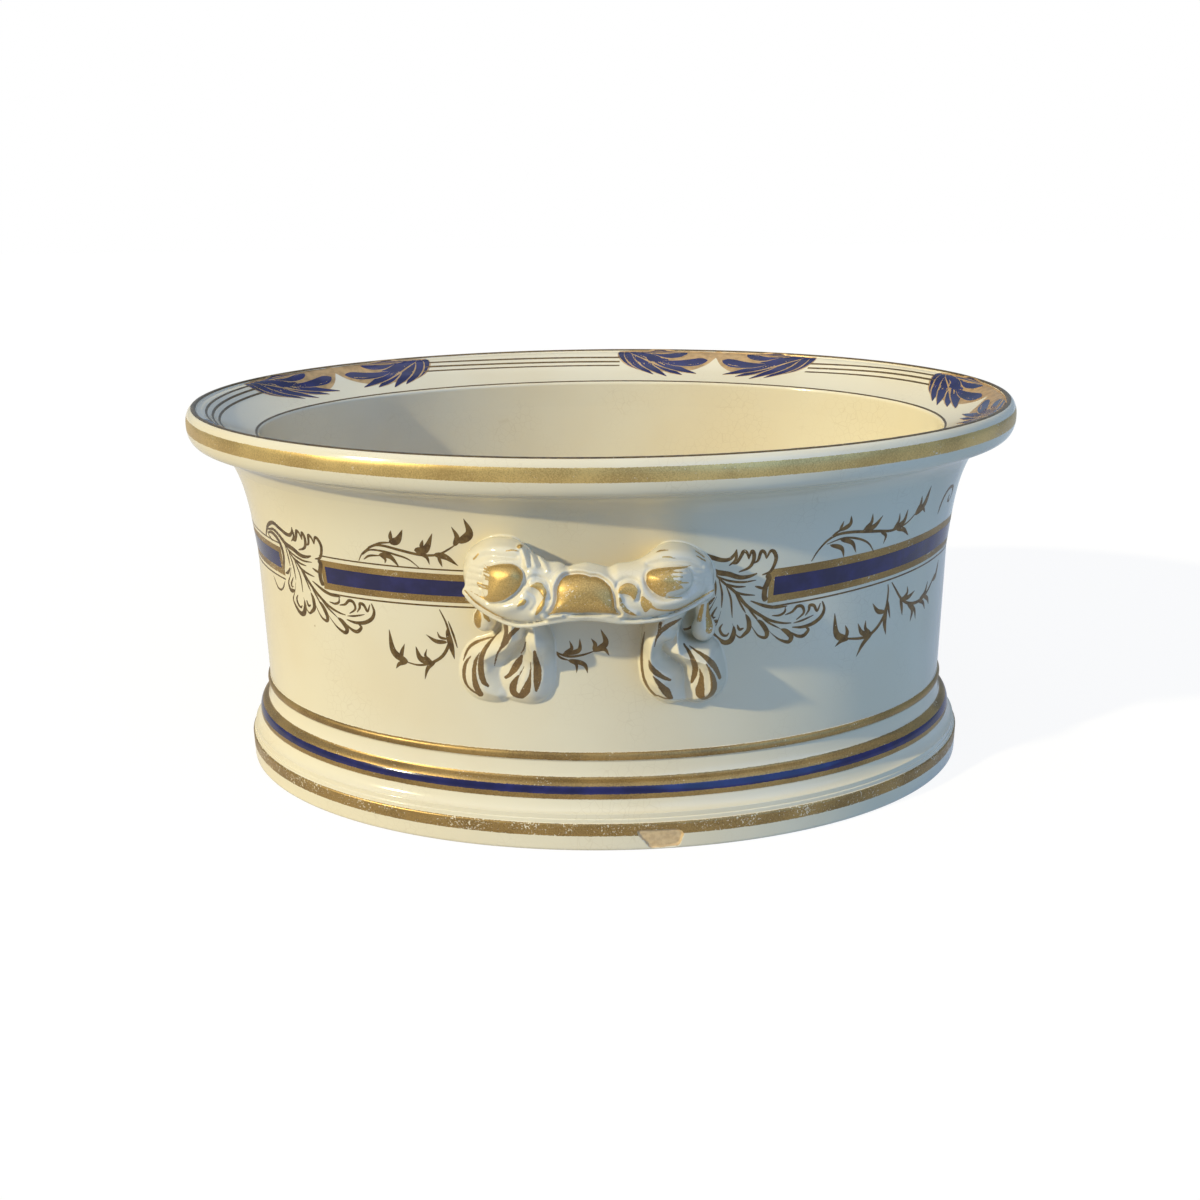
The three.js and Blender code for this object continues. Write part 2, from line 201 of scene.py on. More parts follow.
# Wall of the bath.
# Cream-glazed earthenware, pressed in an oval mould: upright from the foot, then leaning out slowly to carry
# the rim. Each level section is an oval, given by how far it stands out from the upright outer face. Sizes
# are in millimetres from here on.
MM = 0.001
half_length = 207.0
half_width = 141.0
wall_thickness = 7.0
wall_bottom = 52.0
wall_top = 184.0
inner_rows = (140.0, 90.0)
lean_start = 131.2
lean_out = 9.2
lean_rows = 28
sides_round = 400
cream = (0.83, 0.755, 0.575, 1)
cream_warm = (0.80, 0.70, 0.50, 1)
craze_brown = (0.50, 0.38, 0.22, 1)
glaze_rough = 0.13
glaze_bend = 1.42


def wall_out(z):
    """How far the wall's outer face stands out at height z: nought up to the lean's start, and then a little
    over half the lean in proportion to the height above it and the rest with its fourth power."""
    share = np.clip((np.asarray(z, float) - lean_start) / (wall_top - lean_start), 0, 1)
    return lean_out * (0.52 * share + 0.48 * share**4)


def oval_point(turn, out, z):
    """Place at a turn from the middle of the front, an offset out from the upright face, and a height: the
    half length and the half width, each with the offset, times the sine and minus the cosine of the turn."""
    turn, out, z = np.broadcast_arrays(turn, out, z)
    x = (half_length + out) * np.sin(turn)
    y = -(half_width + out) * np.cos(turn)
    return np.stack([x, y, z], -1) * MM


def curve_through(points, count):
    """Smooth line through a few points at count even steps: each stretch between two points is the cubic
    whose slopes at its ends are half the step between the neighbours (Catmull-Rom)."""
    points = np.asarray(points, float)
    padded = np.vstack([2 * points[0] - points[1], points, 2 * points[-1] - points[-2]])
    place = np.linspace(0, len(points) - 1, count)
    first = np.clip(place.astype(int), 0, len(points) - 2)
    t = (place - first)[:, None]
    a, b, c, d = (padded[first + k] for k in range(4))
    return 0.5 * (2 * b + (c - a) * t + (2 * a - 5 * b + 4 * c - d) * t**2 + (3 * b - a - 3 * c + d) * t**3)


def grid_faces(rows, columns, rows_close, columns_close):
    """Four-cornered faces of a grid of points, numbered row by row, which may close on itself either way."""
    row = np.arange(rows if rows_close else rows - 1)[:, None]
    column = np.arange(columns if columns_close else columns - 1)[None, :]
    next_row = (row + 1) % rows
    next_column = (column + 1) % columns
    corners = [row * columns + column, row * columns + next_column,
               next_row * columns + next_column, next_row * columns + column]
    return np.stack([np.broadcast_to(c, (row.size, column.size)) for c in corners], -1).reshape(-1, 4)


def carried_round(profile, turns):
    """Points and faces of a closed profile of offsets and heights, carried round the oval."""
    points = oval_point(turns[:, None], profile[None, :, 0], profile[None, :, 1])
    return points, grid_faces(len(turns), len(profile), True, True)


def make_piece(name, points, faces, material, slot_name, edge_angle=40.0, **fields):
    """A closed mesh from arrays of points and faces. The sum of its faces' signed volumes tells whether it
    is inside out, and then every face is turned over. Named fields are kept as numbers on its points."""
    points = np.asarray(points, float).reshape(-1, 3)
    faces = np.asarray(faces)
    a, b, c = (points[faces[:, k]] for k in range(3))
    volume = np.einsum("ij,ij->", a, np.cross(b, c))
    if faces.shape[1] == 4:
        d = points[faces[:, 3]]
        volume += np.einsum("ij,ij->", a, np.cross(c, d))
    if volume < 0:
        faces = faces[:, ::-1]
    mesh = bpy.data.meshes.new(name)
    mesh.vertices.add(len(points))
    mesh.vertices.foreach_set("co", points.astype(np.float32).ravel())
    mesh.loops.add(faces.size)
    mesh.loops.foreach_set("vertex_index", faces.astype(np.int32).ravel())
    mesh.polygons.add(len(faces))
    starts = np.arange(0, faces.size, faces.shape[1], dtype=np.int32)
    mesh.polygons.foreach_set("loop_start", starts)
    mesh.polygons.foreach_set("use_smooth", np.ones(len(faces), bool))
    for field, values in fields.items():
        kept = mesh.attributes.new(field, "FLOAT", "POINT")
        kept.data.foreach_set("value", np.asarray(values, np.float32).ravel())
    mesh.update(calc_edges=True)
    mesh.validate()
    mesh.set_sharp_from_angle(angle=math.radians(edge_angle))
    mesh.materials.append(material)
    piece = bpy.data.objects.new(name, mesh)
    bpy.context.scene.collection.objects.link(piece)
    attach(piece, "root")
    return piece


def step_between(tree, value, low, high, out_low=0.0, out_high=1.0):
    """Smooth step of a socket from low to high."""
    node = add_node(tree, "ShaderNodeMapRange", interpolation_type="SMOOTHSTEP")
    feed(tree, node, Value=value, From_Min=low, From_Max=high, To_Min=out_low, To_Max=out_high)
    return node.outputs["Result"]


def step_down(tree, value, low, high):
    """Smooth step of a socket from one at low to nought at high."""
    return step_between(tree, value, low, high, 1.0, 0.0)


def noise_of(tree, cells_per_metre, detail=2.0, roughness=0.5):
    """Noise fixed to the piece, with so many cells to a metre."""
    place = add_node(tree, "ShaderNodeTexCoord")
    node = add_node(tree, "ShaderNodeTexNoise")
    feed(tree, node, Vector=place.outputs["Object"], Scale=cells_per_metre, Detail=detail,
         Roughness=roughness)
    return node.outputs["Fac"]


def wander(tree, reach, cells_per_metre, detail, roughness=0.5):
    """Noise about nought, which goes half the reach either way."""
    centred = sum_node(tree, "SUBTRACT", noise_of(tree, cells_per_metre, detail, roughness), 0.5)
    return sum_node(tree, "MULTIPLY", centred, reach)


def mottled(tree, first, second, cells_per_metre, detail=3.0, roughness=0.5, high=0.7):
    """Colour that goes from a first to a second in soft patches."""
    share = step_between(tree, noise_of(tree, cells_per_metre, detail, roughness), 0.35, high)
    return blend_colour(tree, share, first, second)


def cells_of(tree, cells_per_metre, **settings):
    """Cell pattern fixed to the piece."""
    place = add_node(tree, "ShaderNodeTexCoord")
    node = add_node(tree, "ShaderNodeTexVoronoi", **settings)
    feed(tree, node, Vector=place.outputs["Object"], Scale=cells_per_metre)
    return node


def glaze_colour(tree, first=cream, second=cream_warm):
    """Cream that drifts a little warmer in patches, crossed by the fine brown net of a crazed glaze, which
    is stronger in some patches than in others, with a few tiny kiln specks."""
    net = cells_of(tree, 210.0, feature="DISTANCE_TO_EDGE")
    line = step_down(tree, net.outputs["Distance"], 0.0, 0.045)
    patches = step_between(tree, noise_of(tree, 22.0), 0.46, 0.68)
    crazed = sum_node(tree, "MULTIPLY", line, sum_node(tree, "MULTIPLY", patches, 0.18))
    colour = blend_colour(tree, crazed, mottled(tree, first, second, 9.0), craze_brown)
    specks = cells_of(tree, 70.0)
    dots = step_down(tree, specks.outputs["Distance"], 0.03, 0.055)
    lot = add_node(tree, "ShaderNodeSeparateColor")
    feed(tree, lot, Color=specks.outputs["Color"])
    few = step_between(tree, lot.outputs[0], 0.86, 0.88)
    dotted = sum_node(tree, "MULTIPLY", dots, sum_node(tree, "MULTIPLY", few, 0.7))
    return blend_colour(tree, dotted, colour, craze_brown)


def glaze_bump(tree, shader):
    """The glaze pooled a little unevenly, so reflections waver."""
    bump = add_node(tree, "ShaderNodeBump")
    feed(tree, bump, Strength=0.25, Distance=0.0004, Height=noise_of(tree, 55.0))
    feed(tree, shader, Normal=bump.outputs[0])


def new_material(name):
    """Empty material with its node tree and its shader."""
    material = bpy.data.materials.new(name)
    material.use_nodes = True
    tree = material.node_tree
    return material, tree, tree.nodes["Principled BSDF"]


def cream_glaze(name):
    """Plain cream glaze."""
    material, tree, shader = new_material(name)
    feed(tree, shader, Base_Color=glaze_colour(tree), Roughness=glaze_rough, IOR=glaze_bend)
    glaze_bump(tree, shader)
    return material


turns = np.linspace(0, 2 * math.pi, sides_round, endpoint=False)
wall_heights = np.concatenate([[wall_bottom], np.linspace(lean_start, wall_top, lean_rows)])
wall_profile = np.concatenate([
    np.stack([wall_out(wall_heights), wall_heights], -1),
    [[-wall_thickness, z] for z in (wall_top, *inner_rows, wall_bottom)],
])
wall_points, wall_faces = carried_round(wall_profile, turns)
bath_wall = make_piece("bath_wall", wall_points, wall_faces, cream_glaze("wall_glaze"), "cream_glaze")
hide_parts("body_wall")

# Floor of the bath.
# One dished slab of the same glazed earthenware, laid on a ledge inside the foot, with its edge turned up in
# a broad fillet against the wall. Its offsets are from the wall's upright outer face.
slab_bottom = 6.0
slab_edge = -13.3
slab_step = 11.0
slab_wall_side = -7.3
slab_lip = 33.0
fillet_start = -8.3
fillet_radius = 18.0
fillet_rows = 12
slab_rows = 20
long_axis = -half_width + 0.01


def slab_level(first, last, z):
    """Level stretch of the profile from one offset to another. At the long axis the oval that it is carried
    round is hardly more than a line."""
    return np.stack([np.linspace(first, last, slab_rows), np.full(slab_rows, z)], -1)


slab_profile = np.concatenate([
    slab_level(long_axis, slab_edge, slab_bottom)[:-1],
    [[slab_edge, slab_bottom], [slab_edge, slab_step]],
    [[slab_wall_side, slab_step], [slab_wall_side, slab_lip]],
    [[fillet_start - fillet_radius * (1 - math.cos(a)), slab_lip - fillet_radius * math.sin(a)]
     for a in np.linspace(0, math.pi / 2, fillet_rows)],
    slab_level(fillet_start - fillet_radius, long_axis, slab_lip - fillet_radius)[1:],
])
slab_points, slab_faces = carried_round(slab_profile, turns)
bath_floor = make_piece("bath_floor", slab_points, slab_faces, cream_glaze("floor_glaze"), "cream_glaze")
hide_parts("floor_slab")

# Rolled rim.
# A broad sloping flange thrown out over the wall and finished in a thick roll, in the same glazed
# earthenware. A gilt band is painted round the roll's outer side, and its fine lines and leaves are painted
# on it further on.
gold_bright = (0.67, 0.47, 0.175, 1)
gold_deep = (0.44, 0.29, 0.10, 1)
cobalt = (0.009, 0.008, 0.065, 1)
cobalt_pale = (0.017, 0.016, 0.115, 1)
past_profile = 20.0
unpainted = (0, 0, 0, 1)


def profile_length(profile):
    """Distance along a profile from its first point."""
    steps = np.hypot(*np.diff(profile, axis=0).T)
    return np.concatenate([[0], np.cumsum(steps)])


def unrubbed(tree, wear):
    """Share of the gold that is left: it is rubbed off in flecks, more of them where the wear is greater.
    The wear is a socket or a plain number."""
    flecks = noise_of(tree, 900.0, 3.0, 0.65)
    patches = noise_of(tree, 70.0, 3.0)
    rubbed = sum_node(tree, "ADD", flecks, sum_node(tree, "MULTIPLY", patches, 0.4))
    over = sum_node(tree, "ADD", rubbed, sum_node(tree, "MULTIPLY", wear, 0.22))
    return step_down(tree, over, 1.0, 1.02)


def lay_gold(tree, shader, gold_left, under, bright, deep, metal=0.62, rough=0.38):
    """Gold over an under colour where the mask is one, brighter or deeper as it was laid thick or thin."""
    grain_tint = noise_of(tree, 1400.0, 2.0, 0.6)
    patch_tint = noise_of(tree, 30.0, 2.0)
    tint = step_between(tree, sum_node(tree, "ADD", grain_tint, patch_tint), 0.75, 1.25)
    colour = blend_colour(tree, gold_left, under, blend_colour(tree, tint, bright, deep))
    feed(tree, shader, Base_Color=colour, Metallic=sum_node(tree, "MULTIPLY", gold_left, metal),
         Roughness=step_between(tree, gold_left, 0.0, 1.0, glaze_rough, rough))
    glaze_bump(tree, shader)


def cobalt_colour(tree):
    """Cobalt, paler in streaks where it was brushed thin."""
    return mottled(tree, cobalt, cobalt_pale, 90.0)


def painted_glaze(name, bands, lengths, bright, deep):
    """Cream glaze with bands painted over it. Each band is its start and end along the profile, its paint,
    and how worn it is. A ramp along the profile turns them into three masks: gold, cobalt and wear. Two
    noises let the edges of the bands wander a little."""
    material, tree, shader = new_material(name)
    whole = lengths[-1] + past_profile
    along = add_node(tree, "ShaderNodeAttribute", attribute_name="along_profile")
    unsteady = sum_node(tree, "ADD", wander(tree, 0.25, 60.0, 3.0), wander(tree, 0.9, 800.0, 3.0, 0.7))
    place = sum_node(tree, "ADD", along.outputs["Fac"], unsteady)
    ramp = add_node(tree, "ShaderNodeValToRGB")
    ramp.color_ramp.interpolation = "CONSTANT"
    feed(tree, ramp, Fac=sum_node(tree, "DIVIDE", place, whole))
    stops = ramp.color_ramp.elements
    stops[0].position = 0.0
    stops[0].color = unpainted
    stops.remove(stops[1])
    for start, end, paint, wear in bands:
        stops.new(start / whole).color = (paint == "gold", paint == "cobalt", wear, 1)
    for _, end, _, _ in bands:
        if min(abs(end - start) for start, _, _, _ in bands) > 0.01:
            stops.new(end / whole).color = unpainted
    masks = add_node(tree, "ShaderNodeSeparateColor")
    feed(tree, masks, Color=ramp.outputs["Color"])
    under = blend_colour(tree, masks.outputs[1], glaze_colour(tree), cobalt_colour(tree))
    gold_left = sum_node(tree, "MULTIPLY", masks.outputs[0], unrubbed(tree, masks.outputs[2]))
    lay_gold(tree, shader, gold_left, under, bright, deep)
    return material


rim_underside = curve_through([
    [9.2, 184], [11.1, 187.6], [13.6, 190.9], [16.6, 193.6], [19.6, 195.4], [21.6, 196.2],
], 16)
rim_roll = curve_through([
    [22.1, 196.0], [22.6, 197.2], [24.4, 198.0], [27.4, 198.1], [29.9, 199.1], [31.8, 201.6], [32.8, 205.2],
    [32.98, 208.9], [32.6, 212.2], [31.4, 215.2], [29.8, 217.0], [28.0, 217.65], [26.9, 217.1], [26.2, 216.0],
    [25.2, 215.9], [23.2, 215.4], [19.9, 213.6], [16.7, 211.3], [13.3, 209.1], [7.0, 206.0], [0.0, 203.0],
    [-4.5, 201.3], [-6.1, 200.6], [-6.9, 199.3], [-7.0, 196.5],
], 120)
rim_inside = np.array([[-7.0, 190.0], [-7.0, 184.0]])
rim_profile = np.concatenate([rim_underside, rim_roll, rim_inside])
rim_lengths = profile_length(rim_profile)


def on_rim(out, z):
    """Distance along the rim's profile of its point nearest to an offset and height."""
    return float(rim_lengths[np.argmin(np.hypot(rim_profile[:, 0] - out, rim_profile[:, 1] - z))])


rim_bands = [(on_rim(32.95, 206.3), on_rim(32.1, 213.3), "gold", 0.5)]
rim_points, rim_faces = carried_round(rim_profile, turns)
rim_glaze = painted_glaze("rim_glaze", rim_bands, rim_lengths, gold_bright, gold_deep)
rolled_rim = make_piece("bath_rim", rim_points, rim_faces, rim_glaze, "cream_glaze",
                        along_profile=np.broadcast_to(rim_lengths, rim_points.shape[:2]))
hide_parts("rolled_rim")

# Foot.
# A moulded foot of the same body, luted under the wall: a gilt bead, a cove, a half round painted in gold,
# cobalt and gold, an ogee with two fine steps, and a plain plinth with a broad gilt band, worn where the
# bath was slid. A flat chip is broken out of the plinth right of the middle of the front, down to the bare
# tan body.
# The gold of the foot and of the wall's bands is darker than the rim's: partly the worn gold's own colour,
# partly painted shade for the dark surroundings that it reflects.
worn_gold_and_shade = (0.40, 0.255, 0.088, 1)
worn_gold_deep_and_shade = (0.22, 0.137, 0.048, 1)
body_tan = (0.74, 0.54, 0.30, 1)
body_tan_deep = (0.62, 0.43, 0.235, 1)
chip_outline = [
    (17.9, 10.6), (19.8, 12.2), (29, 12.1), (38.4, 11.7), (41.3, 9), (40.4, 5.6), (38.6, 2.2), (31, 1.5),
    (24.8, 1.6), (21.6, 5.4),
]
chip_places = np.linspace(15, 44, 80)
chip_sink = 1.1
chip_edge = 0.7
plinth_out = 11.0
plinth_top = 15.0
no_chip = 9.0
off_chip = -99.0


def oval_run(half_x, half_y, steps):
    """Distance run along an oval over even steps of the turn: the running sum of its short chords."""
    chords = np.hypot(np.diff(half_x * np.sin(steps)), np.diff(half_y * np.cos(steps)))
    return np.concatenate([[0], np.cumsum(chords)])


turn_steps = 4000
wall_steps = np.linspace(-math.pi, 3 * math.pi, turn_steps + 1)
wall_run = oval_run(half_length, half_width, wall_steps)
wall_run = wall_run - wall_run[turn_steps // 4]


def turn_at(distance):
    """Turn round the bath at a distance along the wall's oval from the middle of the front, read back from
    the distance run. A quarter of the steps lies before that middle."""
    return np.interp(distance, wall_run, wall_steps)


def line_distance(x, z, line):
    """Distance of each place to a line of points, and the share of the line before its nearest point."""
    best = np.full(x.shape, 1e6)
    along = np.zeros(x.shape)
    count = len(line) - 1
    for k in range(count):
        (ax, az), (bx, bz) = line[k], line[k + 1]
        length = max((bx - ax) ** 2 + (bz - az) ** 2, 1e-9)
        t = np.clip(((x - ax) * (bx - ax) + (z - az) * (bz - az)) / length, 0, 1)
        d = np.hypot(x - ax - t * (bx - ax), z - az - t * (bz - az))
        along = np.where(d < best, (k + t) / count, along)
        best = np.minimum(best, d)
    return best, along


def outline_distance(x, z, outline):
    """Distance to a closed smooth outline, less than nought inside. The smooth line is carried a point past
    both ends, so that it closes without a corner, and that much is cut off again. A place is inside where a
    level ray from it crosses the outline an odd number of times."""
    ring = np.array(list(outline) + [outline[0]], float)
    ring = curve_through(np.vstack([outline[-1], ring, outline[1]]), 5 * len(ring) + 11)[5:-5]
    ring[-1] = ring[0]
    d, _ = line_distance(x, z, ring)
    inside = np.zeros(x.shape, bool)
    for (ax, az), (bx, bz) in zip(ring[:-1], ring[1:]):
        if az != bz:
            inside ^= ((az > z) != (bz > z)) & (x < ax + (z - az) * (bx - ax) / (bz - az))
    return np.where(inside, -d, d)


foot_outside = np.concatenate([
    [[11.5, 0.0], [12.9, 0.5], [13.4, 1.2], [13.5, 2.0]],
    np.stack([np.full(21, 13.5), np.linspace(2.6, 14.6, 21)], -1),
    curve_through([[13.5, 15.2], [13.1, 15.9], [12.3, 16.3]], 6),
    curve_through([[12.2, 17.6], [12.1, 18.1], [11.6, 18.4]], 5),
    curve_through([[11.5, 20.6], [11.4, 21.1], [10.7, 21.4], [9.3, 22.6], [8.1, 24.6], [7.5, 26.6]], 14),
    curve_through([[7.3, 27.1], [7.6, 29.0], [7.4, 31.4], [6.5, 33.9], [5.0, 35.9], [3.2, 37.1]], 18),
    curve_through([[2.6, 37.4], [1.7, 39.0], [1.0, 41.6], [0.6, 44.4], [0.4, 46.2]], 14),
    curve_through([[0.5, 46.7], [1.1, 47.3], [1.5, 48.6], [1.5, 49.8], [1.0, 51.0], [0.2, 51.7]], 14),
    [[0.0, 52.0]],
])
foot_inside = np.array([
    [-7.0, 52.0], [-7.0, 11.0], [-13.0, 11.0], [-13.0, 6.0], [-2.5, 6.0], [-0.5, 0.0],
])
foot_profile = np.concatenate([foot_outside, foot_inside])
foot_lengths = profile_length(foot_profile)


def on_foot(z):
    """Distance along the foot's profile of a height on its outer face."""
    return float(np.interp(z, foot_outside[:, 1], foot_lengths[:len(foot_outside)]))


def lay_bare(material):
    """Bare tan body inside the chip: its colour, matt and without a glaze, takes the place of what the
    shader had where the kept distance from the chip's edge is less than nought."""
    tree = material.node_tree
    shader = tree.nodes["Principled BSDF"]
    colour_was, metal_was, rough_was = [
        shader.inputs[name].links[0].from_socket for name in ("Base Color", "Metallic", "Roughness")
    ]
    kept = add_node(tree, "ShaderNodeAttribute", attribute_name="chip_distance")
    ragged = sum_node(tree, "ADD", kept.outputs["Fac"], wander(tree, 1.2, 500.0, 3.0, 0.6))
    bare = step_down(tree, ragged, -0.1, 0.1)
    clay = mottled(tree, body_tan, body_tan_deep, 350.0, 4.0, 0.6, high=0.65)
    glazed = step_down(tree, bare, 0.0, 1.0)
    feed(tree, shader, Base_Color=blend_colour(tree, bare, colour_was, clay),
         Metallic=sum_node(tree, "MULTIPLY", metal_was, glazed),
         Roughness=sum_node(tree, "MAXIMUM", rough_was, sum_node(tree, "MULTIPLY", bare, 0.9)))


foot_bands = [
    (on_foot(8.8), on_foot(15.8), "gold", 0.8),
    (on_foot(27.2), on_foot(30.7), "gold", 0.3),
    (on_foot(30.7), on_foot(34.3), "cobalt", 0.0),
    (on_foot(34.3), on_foot(37.8), "gold", 0.45),
    (on_foot(47.4), on_foot(51.7), "gold", 0.4),
]
foot_turns = np.unique(np.concatenate([turns, turn_at(chip_places)]))
round_place = np.interp(foot_turns, turn_at(chip_places), chip_places, left=off_chip, right=off_chip)[:, None]
round_place, foot_out, foot_z = np.broadcast_arrays(round_place, foot_profile[:, 0], foot_profile[:, 1])
chip_distance = outline_distance(round_place, foot_z, chip_outline)
chip_distance = np.where((foot_out > plinth_out) & (foot_z < plinth_top), chip_distance, no_chip)
slow_wave = np.sin(0.5 * round_place + 0.7 * foot_z)
quick_wave = np.sin(0.3 * round_place - 1.3 * foot_z)
unevenness = 1 + 0.1 * slow_wave + 0.06 * quick_wave
foot_out = foot_out - chip_sink * np.clip(-chip_distance / chip_edge, 0, 1) * unevenness
foot_points = oval_point(foot_turns[:, None], foot_out, foot_z)
foot_faces = grid_faces(len(foot_turns), len(foot_profile), True, True)
# The foot's gold is the darker one: partly worn gold, partly painted shade.
foot_glaze = painted_glaze("foot_glaze", foot_bands, foot_lengths, worn_gold_and_shade, worn_gold_deep_and_shade)
lay_bare(foot_glaze)
bath_foot = make_piece("bath_foot", foot_points, foot_faces, foot_glaze, "cream_glaze",
                       along_profile=np.broadcast_to(foot_lengths, foot_points.shape[:2]),
                       chip_distance=chip_distance)
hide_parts("foot_moulding")

# Painted ornament on the wall.
# A cobalt band between two gilt ones runs round the wall, broken by four curling acanthus leaves, with
# sprigs above and below it. It is all brushwork: every stroke is a thin skin of gold or cobalt on the glaze.
# Places are the distance round the wall from the middle of the front and the height.
# The brown of the gilt lines is partly the thin gilding's own colour and partly painted shade: it is darker
# than the gold, standing for the dark surroundings that the gold reflects.
gilt_brown_and_shade = (0.20, 0.125, 0.046, 1)
gilt_brown_deep_and_shade = (0.105, 0.062, 0.025, 1)
brush_lift = 0.07
brush_sink = 0.25
gold_band_lift = 0.04
cobalt_band_lift = 0.08
gold_band_strips = 8
cobalt_band_strips = 4
acanthus_weight = 1.4
stem_weight = 1.5
sprig_weight = 0.9
acanthus_copy = 246.0
half_round = 551.6
line_under = 2.1
line_over = 2.3
under_half_width = 0.45
over_half_width = 0.4
over_line_start = 280.0
raised_by_lean = 0.33


def on_wall(places, proud):
    """Point on the wall's outer face. A height above the start of the lean is raised a third of the lean."""
    distance, z = places[..., 0], places[..., 1]
    z = z + raised_by_lean * wall_out(z)
    return oval_point(turn_at(distance), wall_out(z) + proud, z)


def taper(kind, t):
    """Share of a stroke's full width along it: an even line with blunt ends, a line that swells in the
    middle, a leaf that is fullest before its middle and pointed at both ends, a drop that is fullest near
    its end, or a blade that widens until just before its round end."""
    if kind == "line":
        return np.clip(np.minimum(t, 1 - t) * 14 + 0.35, 0, 1)
    if kind == "swell":
        return 0.25 + 0.75 * np.sin(math.pi * t) ** 0.8
    if kind == "leaf":
        return np.clip(np.sin(math.pi * t ** 0.66), 0, 1) ** 0.9 + 0.05
    if kind == "drop":
        return np.clip(np.sin(math.pi * np.clip(t, 0, 1) ** 2.2), 0, 1) ** 0.75 * 0.95 + 0.05
    return t ** 0.6 * (1 - t ** 8) + 0.05


def laid_skin(surface, low, high, lift=brush_lift, strips=1):
    """Thin closed skin on a surface between two lines of places: its top stands a little proud, and its
    edges and its back are sunk in the glaze. Each cross-section is four points, and a last face closes
    either end. Where the surface is hollow across the skin, it is laid as several strips side by side."""
    if strips > 1:
        cuts = [low + (high - low) * share for share in np.linspace(0, 1, strips + 1)]
        return joined([laid_skin(surface, near, far, lift) for near, far in zip(cuts[:-1], cuts[1:])])
    rows = len(low)
    lines = [surface(low, -brush_sink), surface(low, lift), surface(high, lift), surface(high, -brush_sink)]
    points = np.stack(lines, 1).reshape(-1, 3)
    faces = grid_faces(rows, 4, False, True)
    ends = np.array([[3, 2, 1, 0], [4 * rows - 4, 4 * rows - 3, 4 * rows - 2, 4 * rows - 1]])
    return points, np.concatenate([faces, ends])


def brush_stroke(surface, width, kind, places, lift=brush_lift, strips=1):
    """Skin along a smooth line through the places: half the width goes to each side, square to the line."""
    count = max(9, 5 * len(places))
    line = curve_through(places, count)
    t = np.linspace(0, 1, count)
    along = np.gradient(line, axis=0)
    along /= np.maximum(np.hypot(along[:, 0], along[:, 1]), 1e-6)[:, None]
    side = np.stack([-along[:, 1], along[:, 0]], -1) * (width / 2 * taper(kind, t))[:, None]
    return laid_skin(surface, line - side, line + side, lift, strips)


def joined(skins):
    """Several skins as one list of points and one of faces."""
    points, faces, first = [], [], 0
    for skin_points, skin_faces in skins:
        points.append(skin_points)
        faces.append(skin_faces + first)
        first += len(skin_points)
    return np.concatenate(points), np.concatenate(faces)


